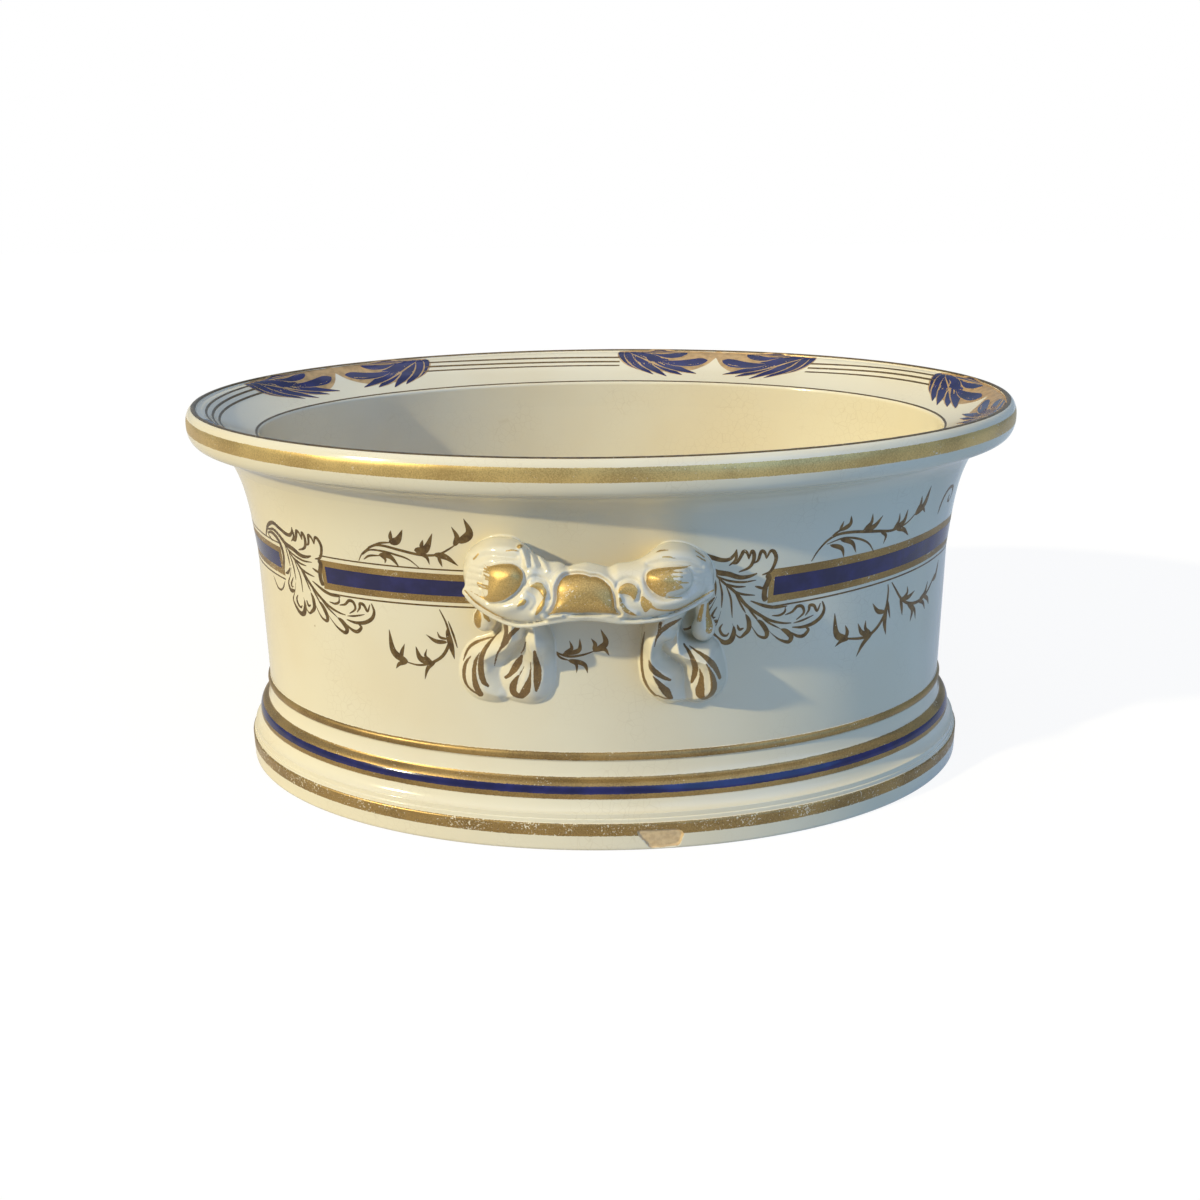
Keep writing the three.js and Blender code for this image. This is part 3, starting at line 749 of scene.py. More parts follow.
acanthus = [
    (1.7, "swell", [(-210, 149.2), (-207.7, 152.2), (-203.2, 156.7), (-196.1, 159.5), (-189.8, 157.8),
                    (-184, 155.8), (-179.8, 155.9), (-177.1, 158.6), (-176.4, 160.8)]),
    (1.2, "swell", [(-176.5, 160.3), (-176.3, 157.6), (-176.7, 155.1), (-179.8, 152.4)]),
    (1.4, "swell", [(-178, 153.4), (-175.7, 153.8), (-173.6, 157.6), (-172.6, 159.5), (-170.7, 158.4),
                    (-169.6, 155.2)]),
    (1.5, "swell", [(-169.6, 155), (-168.4, 159.2), (-167, 157.6), (-167, 153.8), (-169.2, 150.5),
                    (-174.4, 148.6)]),
    (1.3, "swell", [(-166.5, 152.6), (-164.4, 154.2), (-163.2, 158.6), (-161.1, 157.6), (-160, 154.4)]),
    (1.5, "swell", [(-160, 154.4), (-158.2, 158.2), (-156.1, 157.6), (-154.6, 153.6), (-156.9, 147.6),
                    (-161.5, 145.9)]),
    (2.1, "line", [(-158.9, 146), (-157.6, 143.8), (-158.4, 141), (-159.3, 138.4), (-159.4, 134),
                   (-158.2, 131.4)]),
    (1.1, "swell", [(-165, 140.1), (-161.9, 139), (-159.4, 138)]),
    (1.4, "swell", [(-166.9, 132.4), (-161.1, 129.7), (-157, 128.2), (-152, 127.2), (-146, 127.2)]),
    (2.0, "swell", [(-205, 154), (-197.3, 155.5), (-191.5, 153.2), (-186.5, 149.7), (-179.8, 148),
                    (-173.6, 145.7), (-168.4, 145.8), (-164.4, 147)]),
    (1.3, "swell", [(-190, 152.3), (-183.2, 144.7), (-175.2, 137.6), (-169.8, 130.9), (-164, 125.9),
                    (-155.7, 120.5), (-148.2, 118), (-143.2, 117.4)]),
    (1.9, "swell", [(-206.2, 151.8), (-200.8, 153.2), (-196.5, 152), (-192.7, 148.8), (-191.2, 143.4),
                    (-192, 138.5), (-194, 132.6)]),
    (1.2, "swell", [(-192.6, 131.6), (-189.6, 132.6), (-186.3, 136)]),
    (1.7, "drop", [(-185.2, 136.3), (-187.7, 131.3), (-190.3, 126.5), (-188.9, 122.8), (-186.4, 122.6),
                   (-184, 123.6)]),
    (1.0, "swell", [(-184.8, 130.8), (-187.3, 126.8), (-187, 125), (-185.6, 125.2)]),
    (2.2, "drop", [(-182.7, 128.4), (-184.6, 122.2), (-186.8, 117.8), (-184.6, 113.8), (-180.6, 110.8),
                   (-177.2, 111.6), (-175.6, 115.6), (-175.7, 119.7)]),
    (1.1, "swell", [(-181.7, 121.2), (-183.2, 118.6), (-181.9, 115.4), (-179.6, 114.5), (-178.2, 116)]),
    (1.9, "drop", [(-176.4, 121), (-175, 115.6), (-172.3, 112.8), (-169.8, 114.2), (-167.4, 117),
                   (-167.6, 121.6), (-169.4, 125.5)]),
    (1.1, "swell", [(-173.8, 120), (-172.5, 117.2), (-170.2, 117.8)]),
    (1.9, "drop", [(-167.1, 120.6), (-165, 116.8), (-161.9, 112.6), (-158, 111.2), (-157.2, 114.2),
                   (-160.2, 119.2), (-163.4, 122)]),
    (2.1, "drop", [(-156.8, 115.6), (-153.7, 112.2), (-149.5, 108.8), (-144.6, 107), (-143, 109.6),
                   (-146.2, 113.2), (-149.4, 114.8)]),
    (1.5, "swell", [(-143.4, 112.2), (-139.4, 109.6), (-135.7, 109.2), (-132.8, 112), (-134.4, 113.6)]),
    (1.6, "swell", [(-142.6, 114.9), (-136.6, 114.2), (-130.4, 115.2), (-125.4, 118.2), (-123.5, 122.4),
                    (-124.9, 126.9)]),
    (1.0, "swell", [(-154.6, 122.9), (-150.3, 122.6), (-147.4, 124.1), (-147, 126.9)]),
    (1.3, "swell", [(-147, 122.4), (-143, 123.6), (-140, 126.2), (-137, 125.6), (-136.1, 122),
                    (-140.3, 118.8)]),
    (1.3, "swell", [(-135, 120.4), (-133, 123.2), (-132.6, 125.6), (-130, 125.2), (-127.9, 122),
                    (-126, 126)]),
    (0.8, "swell", [(-142, 117.1), (-136.6, 118), (-130, 119.9)]),
    (0.9, "swell", [(-186.6, 147.8), (-180, 144.6), (-172, 143), (-164.6, 143.4)]),
    (0.9, "swell", [(-182.6, 143.6), (-176, 141), (-170, 140.4)]),
    (0.9, "swell", [(-178, 139.6), (-172, 136.6), (-164.6, 135.2)]),
    (0.8, "swell", [(-187.4, 149), (-186.2, 142), (-186, 137)]),
    (0.8, "swell", [(-184.6, 145.6), (-182.6, 138), (-182.4, 130)]),
    (0.8, "swell", [(-180.6, 141.8), (-177.6, 134), (-176.6, 124)]),
    (0.8, "swell", [(-175.6, 137.4), (-171.6, 130), (-169.4, 126)]),
    (0.8, "swell", [(-168.4, 128.8), (-164.6, 124), (-161.8, 120.4)]),
    (0.8, "swell", [(-161.6, 124), (-156.6, 119.4), (-149.4, 114.9)]),
    (0.8, "swell", [(-206, 152), (-203, 149), (-199.4, 148.6)]),
    (0.9, "swell", [(-209.2, 125.9), (-204.8, 120.9), (-201.1, 119.7), (-197.4, 121.6), (-194.4, 126.3)]),
]

sprig_over_left = [
    (1.0, "swell", [(-129.4, 150), (-126.2, 154.4), (-118.7, 159.4), (-112.5, 160.2), (-103.7, 159),
                    (-93.7, 157.6), (-87.5, 157.5), (-81.2, 158.5), (-75, 161.9), (-68.7, 166.2)]),
    (0.8, "swell", [(-121.9, 158.4), (-113.7, 161.5), (-107.5, 162.4)]),
    (0.8, "swell", [(-126.2, 153.7), (-121.2, 156.9), (-113.7, 157.2), (-106.2, 156.2), (-98.7, 154.4),
                    (-92.5, 150)]),
    (0.8, "swell", [(-126, 151.2), (-121.9, 153.7), (-115, 154.6)]),
    (4.2, "leaf", [(-108.5, 162.6), (-103.3, 164), (-99.1, 170)]),
    (2.4, "leaf", [(-107.5, 163.6), (-106, 169)]),
    (4.4, "leaf", [(-94.5, 159.6), (-88.1, 160.6), (-82.9, 169.4)]),
    (2.2, "leaf", [(-90.6, 161), (-88.7, 165.6)]),
    (3.2, "leaf", [(-72.2, 163.6), (-69.9, 168.2), (-71.9, 173.7)]),
    (4.6, "leaf", [(-69.8, 165.4), (-63.2, 170.6), (-64.7, 178.3)]),
    (3.6, "leaf", [(-83.9, 158.2), (-77.5, 157.4), (-71.2, 153.1)]),
    (2.0, "leaf", [(-81.6, 157.6), (-80, 151.9)]),
    (2.2, "leaf", [(-91.2, 157.7), (-88, 156.4), (-86.9, 152.5)]),
    (3.4, "leaf", [(-116, 154.8), (-109.4, 154.8), (-104.4, 149.4)]),
    (1.8, "leaf", [(-115, 154.6), (-112.4, 153), (-113, 150.6)]),
]

sprig_under_left = [
    (1.2, "swell", [(-84, 128.5), (-80.6, 121.2), (-79, 113.7), (-80, 108.7), (-83.7, 102.5), (-90, 98.1),
                    (-97.5, 95.8), (-105, 96.5)]),
    (0.8, "swell", [(-79.4, 122.5), (-76.9, 115), (-75, 108)]),
    (4.4, "leaf", [(-104, 96.4), (-112.6, 101.4), (-114.7, 113.7)]),
    (2.6, "leaf", [(-108.4, 98), (-107.6, 102), (-105.6, 106.9)]),
    (2.6, "leaf", [(-104.6, 96.4), (-109.4, 95), (-111.9, 91.9)]),
    (4.0, "leaf", [(-89.4, 98.4), (-96.4, 99.6), (-99, 106.2)]),
    (1.8, "leaf", [(-90.6, 99.4), (-93.6, 101.4), (-92.5, 105.6)]),
    (2.6, "leaf", [(-80.6, 110.6), (-87, 110.6), (-92.5, 113.7)]),
    (1.6, "leaf", [(-80, 112.4), (-84.4, 113), (-86, 116)]),
    (3.6, "leaf", [(-80.4, 118), (-78.4, 108.6), (-76.9, 101.5)]),
    (2.4, "leaf", [(-88, 98.8), (-92.6, 94.6), (-94.7, 88)]),
]

sprig_between_leaves = [
    (0.9, "swell", [(-22.9, 109.2), (-20, 107.4), (-15, 106.2), (-8.3, 107.2), (-1.7, 109.6)]),
    (0.8, "swell", [(-22.9, 109.2), (-20, 105.6), (-15.4, 104)]),
    (3.6, "leaf", [(-3, 109), (3.4, 113.6), (1, 121.2)]),
    (2.4, "leaf", [(-3, 109.6), (-2, 113), (-4, 116.2)]),
    (2.6, "leaf", [(-3.4, 109.2), (2.5, 110.4), (5.2, 106.7)]),
    (2.8, "leaf", [(-18.9, 107.6), (-10.6, 109.6), (-9.8, 116.2)]),
    (2.2, "leaf", [(-18.3, 108), (-14.2, 110.6), (-15.2, 115)]),
    (2.8, "leaf", [(-16, 104.4), (-8, 102), (-6, 97)]),
    (2.0, "leaf", [(-16, 104), (-12, 102), (-11.8, 97)]),
]

sprig_over_right = [
    (1.1, "swell", [(111.9, 150), (115, 155), (120, 160), (126.2, 162.5), (135, 162.5), (145, 161.2),
                    (153.7, 160), (162.5, 158.7), (170, 159.4), (176.2, 161.2), (182.5, 165.6)]),
    (0.8, "swell", [(120, 159.4), (125, 163.7), (130, 165)]),
    (0.8, "swell", [(120, 158.1), (130, 160), (140, 158.1), (147.5, 154.4), (152.5, 148.7)]),
    (2.8, "leaf", [(127, 164.4), (132.4, 167), (131.9, 171.6)]),
    (1.8, "leaf", [(126.6, 164.2), (128, 169.4)]),
    (3.4, "leaf", [(141.7, 162.2), (149.4, 163.4), (154, 168.4)]),
    (2.6, "leaf", [(142.4, 162.6), (146.6, 165.6), (146.2, 170.6)]),
    (3.4, "leaf", [(164.2, 159.4), (171.8, 161.8), (173.1, 168.4)]),
    (2.0, "leaf", [(164.8, 159.6), (167.6, 163), (166.9, 167.5)]),
    (2.8, "leaf", [(166.7, 158.8), (173.1, 157.4), (178.5, 153.1)]),
    (2.0, "leaf", [(155, 159.4), (159.4, 156.6), (158.5, 152.2)]),
    (4.2, "leaf", [(180.4, 163.8), (187.6, 168.6), (188.1, 178)]),
    (2.6, "leaf", [(181, 164.6), (183.6, 169), (182.5, 173.7)]),
    (2.4, "leaf", [(182.6, 165.8), (187, 166.4), (190.4, 163.4)]),
    (2.6, "leaf", [(122, 157.4), (129.6, 154.6), (131.9, 149.4)]),
    (2.6, "leaf", [(128, 159.4), (136, 156.6), (139.7, 150.6)]),
]

sprigs_under_right = [
    (1.3, "swell", [(166.9, 128), (167.5, 123.7), (166.9, 116.2), (165, 110), (160, 104.4), (153.7, 101.2),
                    (147.5, 101), (140, 102.3), (137, 103.4)]),
    (4.4, "leaf", [(139.4, 102.2), (131.4, 106.4), (129.4, 118.7)]),
    (2.6, "leaf", [(137.6, 103), (138.4, 106.4), (136.9, 110.6)]),
    (2.8, "leaf", [(140, 102.4), (135, 102.2), (130.6, 99.4)]),
    (3.2, "leaf", [(156, 102), (149, 103.8), (145.6, 110)]),
    (2.4, "leaf", [(155.6, 102.4), (151.4, 105.6), (151.2, 110.6)]),
    (3.0, "leaf", [(166, 112.4), (160, 114), (155.6, 119.4)]),
    (3.4, "leaf", [(166.6, 116), (166, 106.4), (167.6, 98.7)]),
    (2.0, "leaf", [(167.2, 119), (168.8, 113), (170.4, 107.5)]),
    (3.0, "leaf", [(157, 102.4), (150.4, 97.6), (145.6, 90.6)]),
    (1.3, "swell", [(170, 128.5), (173.7, 123.7), (178.7, 117.5), (185, 113.1), (192.5, 111), (200, 111.2),
                    (207.5, 113.7), (213.7, 118.1), (217.5, 121.2)]),
    (3.2, "leaf", [(214, 118.4), (219.6, 120.6), (223.4, 128.4)]),
    (3.0, "leaf", [(179, 117), (186.2, 116.2), (192.4, 118.4)]),
    (2.0, "leaf", [(180.6, 116.6), (184.8, 119), (184.4, 123)]),
    (2.6, "leaf", [(178.4, 118), (180.2, 112), (181.2, 106.6)]),
    (3.2, "leaf", [(185.5, 112.8), (191, 107.6), (189.6, 100.8)]),
    (2.2, "leaf", [(189, 111.4), (193.6, 106.6), (195.2, 100.8)]),
    (3.0, "leaf", [(198, 111.2), (204.4, 113.6), (207.7, 120)]),
    (2.6, "leaf", [(197, 111), (203, 108.6), (206, 103.8)]),
    (2.8, "leaf", [(203, 112.4), (208.6, 109.4), (211, 105.4)]),
]

scroll_far_right = [
    (2.2, "leaf", [(207.4, 158.6), (209.6, 166), (214.4, 171), (221, 171), (224.4, 166.6), (222.4, 162.4)]),
    (1.2, "swell", [(222.4, 162.4), (219.4, 163.8), (219.6, 166.8)]),
]

# Each place of a band is its distance round the wall and four heights: the foot of the lower gold line, the
# foot and the top of the cobalt, and the top of the upper gold line.
band_near_handle = np.array([
    (-157.6, 129.8, 133.6, 142.8, 146.2), (-75, 132.8, 136.4, 144.7, 148.2), (-58, 133.4, 137, 145, 148.6),
])
band_round_end = np.array([
    (88.6, 130, 134, 144, 148.4), (150, 132, 135.8, 145.4, 149.8), (220, 134.2, 138, 147.4, 151.6),
    (290, 131.8, 135.6, 144.8, 148.6), (358.2, 129.8, 133.6, 142.8, 146.2),
])


def band_edge(knots, column, step=3.0):
    """Line of places along one edge of a band, straight between its knots."""
    count = int((knots[-1, 0] - knots[0, 0]) / step) + 2
    distance = np.linspace(knots[0, 0], knots[-1, 0], count)
    return np.stack([distance, np.interp(distance, knots[:, 0], knots[:, column])], -1)


def even_line(middle, reach):
    """Skin of one width along a line of places on the wall."""
    return laid_skin(on_wall, middle - [0, reach], middle + [0, reach])


gold_skins, cobalt_skins, line_skins = [], [], []
for shift in (0.0, half_round):
    for knots in (band_near_handle, band_round_end):
        low, blue_low, blue_high, high = [band_edge(knots, column) + [shift, 0] for column in (1, 2, 3, 4)]
        gold_skins.append(laid_skin(on_wall, low, high, gold_band_lift, gold_band_strips))
        cobalt_skins.append(laid_skin(on_wall, blue_low[1:-1], blue_high[1:-1], cobalt_band_lift,
                                      cobalt_band_strips))
        line_skins.append(even_line(low - [0, line_under], under_half_width))
        over = high + [0, line_over]
        if knots is band_round_end:
            over = over[over[:, 0] - shift > over_line_start]
        line_skins.append(even_line(over, over_half_width))
    for width, kind, places in acanthus:
        for copy in (0.0, acanthus_copy):
            laid = np.array(places) + [shift + copy, 0]
            line_skins.append(brush_stroke(on_wall, acanthus_weight * width, kind, laid))
    for motif in (sprig_over_left, sprig_under_left, sprig_between_leaves, sprig_over_right,
                  sprigs_under_right, scroll_far_right):
        for width, kind, places in motif:
            weight = stem_weight if kind == "swell" else sprig_weight
            line_skins.append(brush_stroke(on_wall, weight * width, kind, np.array(places) + [shift, 0]))


def gilt_line_paint(name):
    """Thin gold brushed on the glaze, brown in patches of two depths and flecked through to the cream. Its
    brown is partly the gilding's own colour and partly painted shade.
    """
    material, tree, shader = new_material(name)
    colour = mottled(tree, gilt_brown_and_shade, gilt_brown_deep_and_shade, 300.0, 4.0, 0.6)
    flecks = step_between(tree, noise_of(tree, 900.0, 3.0, 0.7), 0.69, 0.72)
    metal = step_between(tree, flecks, 0.0, 1.0, 0.6, 0.0)
    feed(tree, shader, Base_Color=blend_colour(tree, flecks, colour, cream), Metallic=metal, Roughness=0.34)
    glaze_bump(tree, shader)
    return material


def cobalt_paint(name):
    """Cobalt laid thick, paler where the brush ran thin."""
    material, tree, shader = new_material(name)
    feed(tree, shader, Base_Color=cobalt_colour(tree), Roughness=0.12)
    glaze_bump(tree, shader)
    return material


def gold_paint(name, wear):
    """Gold laid thick, and rubbed through to the cream in flecks."""
    material, tree, shader = new_material(name)
    # This gold is darker than the rim's: partly worn gold, partly painted shade.
    lay_gold(tree, shader, unrubbed(tree, wear), glaze_colour(tree), worn_gold_and_shade, worn_gold_deep_and_shade)
    return material


make_piece("wall_gilt_lines", *joined(line_skins), gilt_line_paint("gilt_line_paint"), "gilding")
make_piece("wall_gold_bands", *joined(gold_skins), gold_paint("wall_gold_paint", 0.6), "gilding")
make_piece("wall_cobalt_band", *joined(cobalt_skins), cobalt_paint("wall_cobalt_paint"), "cobalt_glaze")

# Painted ornament on the rim.
# Pairs of cobalt leaves outlined in gold lie mirrored on the flange, five pairs round it, on a rubbed gold
# ground along the foot of the roll, and three gilt lines run from pair to pair. Places are the distance
# round the rim from the middle of the back and the distance in from the outermost line of the roll.
rubbed_tan = (0.60, 0.38, 0.17, 1)
rubbed_tan_deep = (0.42, 0.255, 0.11, 1)
pair_places = [-184.0, 77.5, 299.0, 536.0, 763.0]
roll_out = 33.0
flange_foot = 200.3
rim_crest = 217.68
flange_half_length = 220.0
flange_half_width = 154.0
ground_lift = 0.04
ground_strips = 24
ground_rows = 40
blade_border = 1.7
border_lift = 0.06
blade_lift = 0.075
order_lift = 0.03
blade_strips = 4
flange_line_drops = (0.0, -3.4, -6.9)
flange_line_half_width = 0.6
flange_line_rows = 60
ring_edges = ((-39.1, -37.9), (-6.3, -3.5))
ring_rows = 400
ring_strips = 6
rim_top = rim_profile[np.argmax(rim_profile[:, 0]):]
rim_top = rim_top[rim_top[:, 1] > flange_foot][::-1]
rim_steps = np.linspace(-2 * math.pi, 2 * math.pi, turn_steps + 1)
rim_run = oval_run(flange_half_length, flange_half_width, rim_steps)
half_rim = rim_run[-1] / 4


def rim_turn(distance):
    """Turn round the bath at a distance along the middle of the flange from the middle of the back, read back
    from the distance run. Half of the steps lies before that middle."""
    return math.pi - np.interp(distance, rim_run - rim_run[turn_steps // 2], rim_steps)


def on_flange(places, proud):
    """Point on the upper face of the rim, at a distance round it and in from the roll's outermost line, and
    no higher than the crest."""
    out = roll_out + places[..., 1]
    z = np.interp(out, rim_top[:, 0], rim_top[:, 1])
    return oval_point(rim_turn(places[..., 0]), out, np.minimum(z + proud, rim_crest))


rim_leaf_top = [(66, -6.6), (52, -6.2), (36, -6), (20, -6), (6, -6), (0, -6)]
rim_leaf_hem = [
    (66, -9), (58, -16), (49, -22), (40, -26), (31, -27), (22, -26.4), (13, -24.6), (5, -19), (0, -13),
]
rim_leaf_blades = [
    (5.4, "leaf", [(66, -7.6), (62.5, -13), (57, -19.6), (50.4, -25.6)]),
    (6.4, "leaf", [(62, -8), (57, -14.6), (50, -22.6), (40.4, -30.4)]),
    (7.0, "leaf", [(57, -8), (50, -15), (41.6, -23.6), (30.4, -32.4)]),
    (6.0, "leaf", [(46, -13), (37, -19.6), (29, -25.6), (19.4, -30.6)]),
    (7.2, "leaf", [(59, -8.4), (48, -11.4), (38, -16), (29, -21), (19.4, -25.4), (9.6, -28.8)]),
    (7.8, "blade", [(36, -17), (26, -18.4), (15, -17.8), (5, -15.4)]),
    (4.6, "leaf", [(20, -9.4), (26, -11.4), (34, -12.4), (43, -10.8)]),
    (2.6, "leaf", [(50, -8.6), (42, -7.8), (32, -7.6), (24, -7.4)]),
]
rim_lines = [
    [(-127, -11.8), (-75, -13), (0, -13.7), (12, -13.7)],
    [(143, -14), (175, -12.5), (205, -11.5), (253, -11.2)],
    [(-364, -12.5), (-300, -11.5), (-234, -9.8)],
    [(346, -12), (420, -12.5), (474, -12)],
    [(597, -12), (650, -13), (702, -12.4)],
]


def rubbed_gold_paint(name):
    """Gold rubbed so thin that it has lost most of its shine: a warm tan, darker where more is left."""
    material, tree, shader = new_material(name)
    colour = mottled(tree, rubbed_tan, rubbed_tan_deep, 220.0, 4.0, 0.6)
    feed(tree, shader, Base_Color=colour, Metallic=0.25, Roughness=0.36)
    glaze_bump(tree, shader)
    return material


leaf_blue, leaf_gold, rim_gilt = [], [], []
for place in pair_places:
    for side in (-1.0, 1.0):
        top = curve_through(rim_leaf_top, ground_rows) * [side, 1] + [place, 0]
        hem = curve_through(rim_leaf_hem, ground_rows) * [side, 1] + [place, 0]
        leaf_gold.append(laid_skin(on_flange, hem, top, ground_lift, ground_strips))
        for order, (width, kind, places) in enumerate(rim_leaf_blades):
            laid = np.array(places) * [side, 1] + [place, 0]
            raised = order_lift * order
            leaf_gold.append(brush_stroke(on_flange, width + blade_border, kind, laid, border_lift + raised,
                                          blade_strips))
            leaf_blue.append(brush_stroke(on_flange, width, kind, laid, blade_lift + raised, blade_strips))
for knots in rim_lines:
    for drop in flange_line_drops:
        line = curve_through(np.array(knots) + [0, drop], flange_line_rows)
        width = [0, flange_line_half_width]
        rim_gilt.append(laid_skin(on_flange, line - width, line + width))
round_rim = np.linspace(-half_rim, half_rim, ring_rows)
for edges in ring_edges:
    inner, outer = [np.stack([round_rim, np.full(ring_rows, edge)], -1) for edge in edges]
    rim_gilt.append(laid_skin(on_flange, inner, outer, brush_lift, ring_strips))
make_piece("rim_leaf_gilding", *joined(leaf_gold), rubbed_gold_paint("rim_leaf_gold_paint"), "gilding")
make_piece("rim_leaves", *joined(leaf_blue), cobalt_paint("rim_leaf_cobalt_paint"), "cobalt_glaze")
make_piece("rim_gilt_lines", *joined(rim_gilt), gilt_line_paint("rim_line_paint"), "gilding")

# Grip of each handle.
# A bracket pressed in the same clay and luted on by its two rolled ends, with room for the fingers behind
# the bar. A gilt cushion panel stands between two comma scrolls, and each end is a leaf rolled over a gilt
# oval boss. Places are across from the handle's own middle, out from the wall, and up. The form is the
# nought surface of a field of distances on a fine grid, worked out as whole arrays, and then meshed.
handle_aside = -3.5
grain = 0.57
view_fall = 0.33
handle_cream = (0.81, 0.745, 0.585, 1)
handle_cream_warm = (0.78, 0.695, 0.52, 1)
handle_bright = (0.62, 0.41, 0.14, 1)
handle_deep = (0.40, 0.25, 0.08, 1)
far_from_gilt = 9.0
outline_reach = 34.0
stroke_reach = 4.0
painted_depth = 33.0
painted_from = 14.0
ear_depth = 12.0
ear_painted_from = 6.0
ear_paint_top = 138.0
bar_middle = -1.0
bar_proud = 25.6
bar_half_thick = 9.4
end_from = 19.0
end_run = 20.0
end_drop = 5.2
end_swell = 4.6
tip_from = 34.0
tip_fall = 0.005
edge_round = 11.0
top_lean_from = 146.0
top_lean = 0.22
lip_radius = 1.45
lip_proud = 30.6
lip_drop = 9.0
lip_drop_from = 24.0
lip_drop_run = 38.0
lip_middle = -1.5
lip_half_length = 60.5
lip_join = 1.6
cushion_rise = (3.2, 10.0)
cushion_frame = (1.3, 1.2, 2.2)
cushion_groove = (-0.8, 0.7, 0.5)
boss_rise = (5.0, 9.5)
boss_groove = (-0.6, 0.8, 0.4)
comma_rise = (1.6, 2.6)
comma_spread = 0.6
relief_from = 12.0
relief_run = 12.0
relief_top = 196.0
root_places = ((-44.0, 151.4), (43.0, 149.6))
root_half_across = 15.6
root_half_high = 12.6
root_mean_radius = 14.0
root_flare = 4.5
flare_fade = 4.0
root_end = 20.0
root_join = 6.0
ears = ((-54.6, 128.2, -53.0), (56.8, 122.5, 54.6))
ear_radius = 6.3
ear_tall = 1.06
ear_proud = 7.2
ear_join = 3.0
neck_radius = 3.6
neck_proud = 7.5
neck_lean = 0.15
neck_top = 148.0
neck_cut = 150.0
luting = 0.35
root_depth = 1.8
grip_ends = ((-67.2, 65.4), (-4.2, 41.0), (113.8, 180.6))
handles = (("front", False), ("back", True))


def front_point(x, proud, z, back):
    """Place from across, out and up, where out is square to the long side. The back handle is the front one,
    turned half round."""
    along = x + handle_aside
    face = half_width * np.sqrt(1 - (along / half_length) ** 2)
    place = np.stack([along, -(face + proud), z], -1) * MM
    return place * [-1, -1, 1] if back else place


def eased(share):
    """Share that starts and ends level: three times its square less twice its cube."""
    return share**2 * (3 - 2 * share)


def soft_join(a, b, reach):
    """Lesser of two fields, with the corner between them filled: a quarter of the reach times the square of
    how far they are within the reach of each other."""
    near = np.clip(reach - np.abs(a - b), 0, None) / reach
    return np.minimum(a, b) - near * near * reach / 4


def rounded(d, height, width, past=0.0):
    """Rounded ridge so far past where the distance d is nought, or a groove where the height is less than
    nought."""
    return height * np.exp(-(((d - past) / width) ** 2))


def ridge(height, width, x, z, line):
    """Rounded ridge or groove along a line."""
    d, _ = line_distance(x, z, curve_through(line, 6 * len(line)))
    return rounded(d, height, width)


def swollen(d, radius, p, middle, thick):
    """Field of an outline blown up into a rounded form: a section across its edge is a half oval, one radius
    in from the edge by the half thickness."""
    inside = np.clip(radius + d, 0, None) / radius
    return (np.hypot(inside, (p - middle) / thick) - 1) * np.minimum(radius, thick)


def luted(form, p, z, wall_share, reach, skin):
    """Field of a form luted to the wall: it is joined softly to the wall's face, cut off a little inside the
    wall, and ends a skin's width from the form."""
    wall_field = (p - wall_out(z)) * wall_share
    field = soft_join(form, wall_field + luting, reach)
    return np.maximum(np.maximum(field, -root_depth - p), form - skin)


def field_grid(x_ends, p_ends, z_ends):
    """Places across, out and up, one grain apart between their ends, and the three whole fields of them."""
    spans = [np.arange(low, high, grain) for low, high in (x_ends, p_ends, z_ends)]
    return spans, np.meshgrid(*spans, indexing="ij")


def nought_surface(field, spans):
    """Mesh of the field's nought surface: every grid cell that it crosses gets one point, the mean of the
    crossings on its edges, and every grid edge that it crosses gets the face between its four cells."""
    inside = field < 0
    shape = np.array(field.shape) - 1
    total = np.zeros(shape, np.int8)
    corners = [(i, j, k) for i in (0, 1) for j in (0, 1) for k in (0, 1)]
    for i, j, k in corners:
        total += inside[i:i + shape[0], j:j + shape[1], k:k + shape[2]]
    cell = np.argwhere((total > 0) & (total < 8))
    number = np.full(shape, -1, np.int64)
    number[tuple(cell.T)] = np.arange(len(cell))
    value = {c: field[tuple((cell + c).T)] for c in corners}
    place = np.zeros((len(cell), 3))
    count = np.zeros(len(cell))
    for a in corners:
        for axis in range(3):
            if a[axis] == 0:
                b = tuple(v + (n == axis) for n, v in enumerate(a))
                crossed = (value[a] < 0) != (value[b] < 0)
                t = np.where(crossed, value[a] / np.where(crossed, value[a] - value[b], 1), 0)
                at = np.array(a, float) + t[:, None] * (np.arange(3) == axis)
                place += np.where(crossed[:, None], at, 0)
                count += crossed
    points = np.array([span[0] for span in spans]) + (cell + place / count[:, None]) * grain
    faces = []
    for axis in range(3):
        first = np.moveaxis(inside, axis, 0)
        edge = np.argwhere(first[:-1, 1:-1, 1:-1] != first[1:, 1:-1, 1:-1])
        flip = first[:-1, 1:-1, 1:-1][tuple(edge.T)] ^ (axis == 1)
        cells = np.moveaxis(number, axis, 0)
        i, j, k = edge.T
        quad = np.stack([cells[i, j, k], cells[i, j + 1, k], cells[i, j + 1, k + 1], cells[i, j, k + 1]], -1)
        faces.append(np.where(flip[:, None], quad, quad[:, ::-1]))
    return points, np.concatenate(faces)


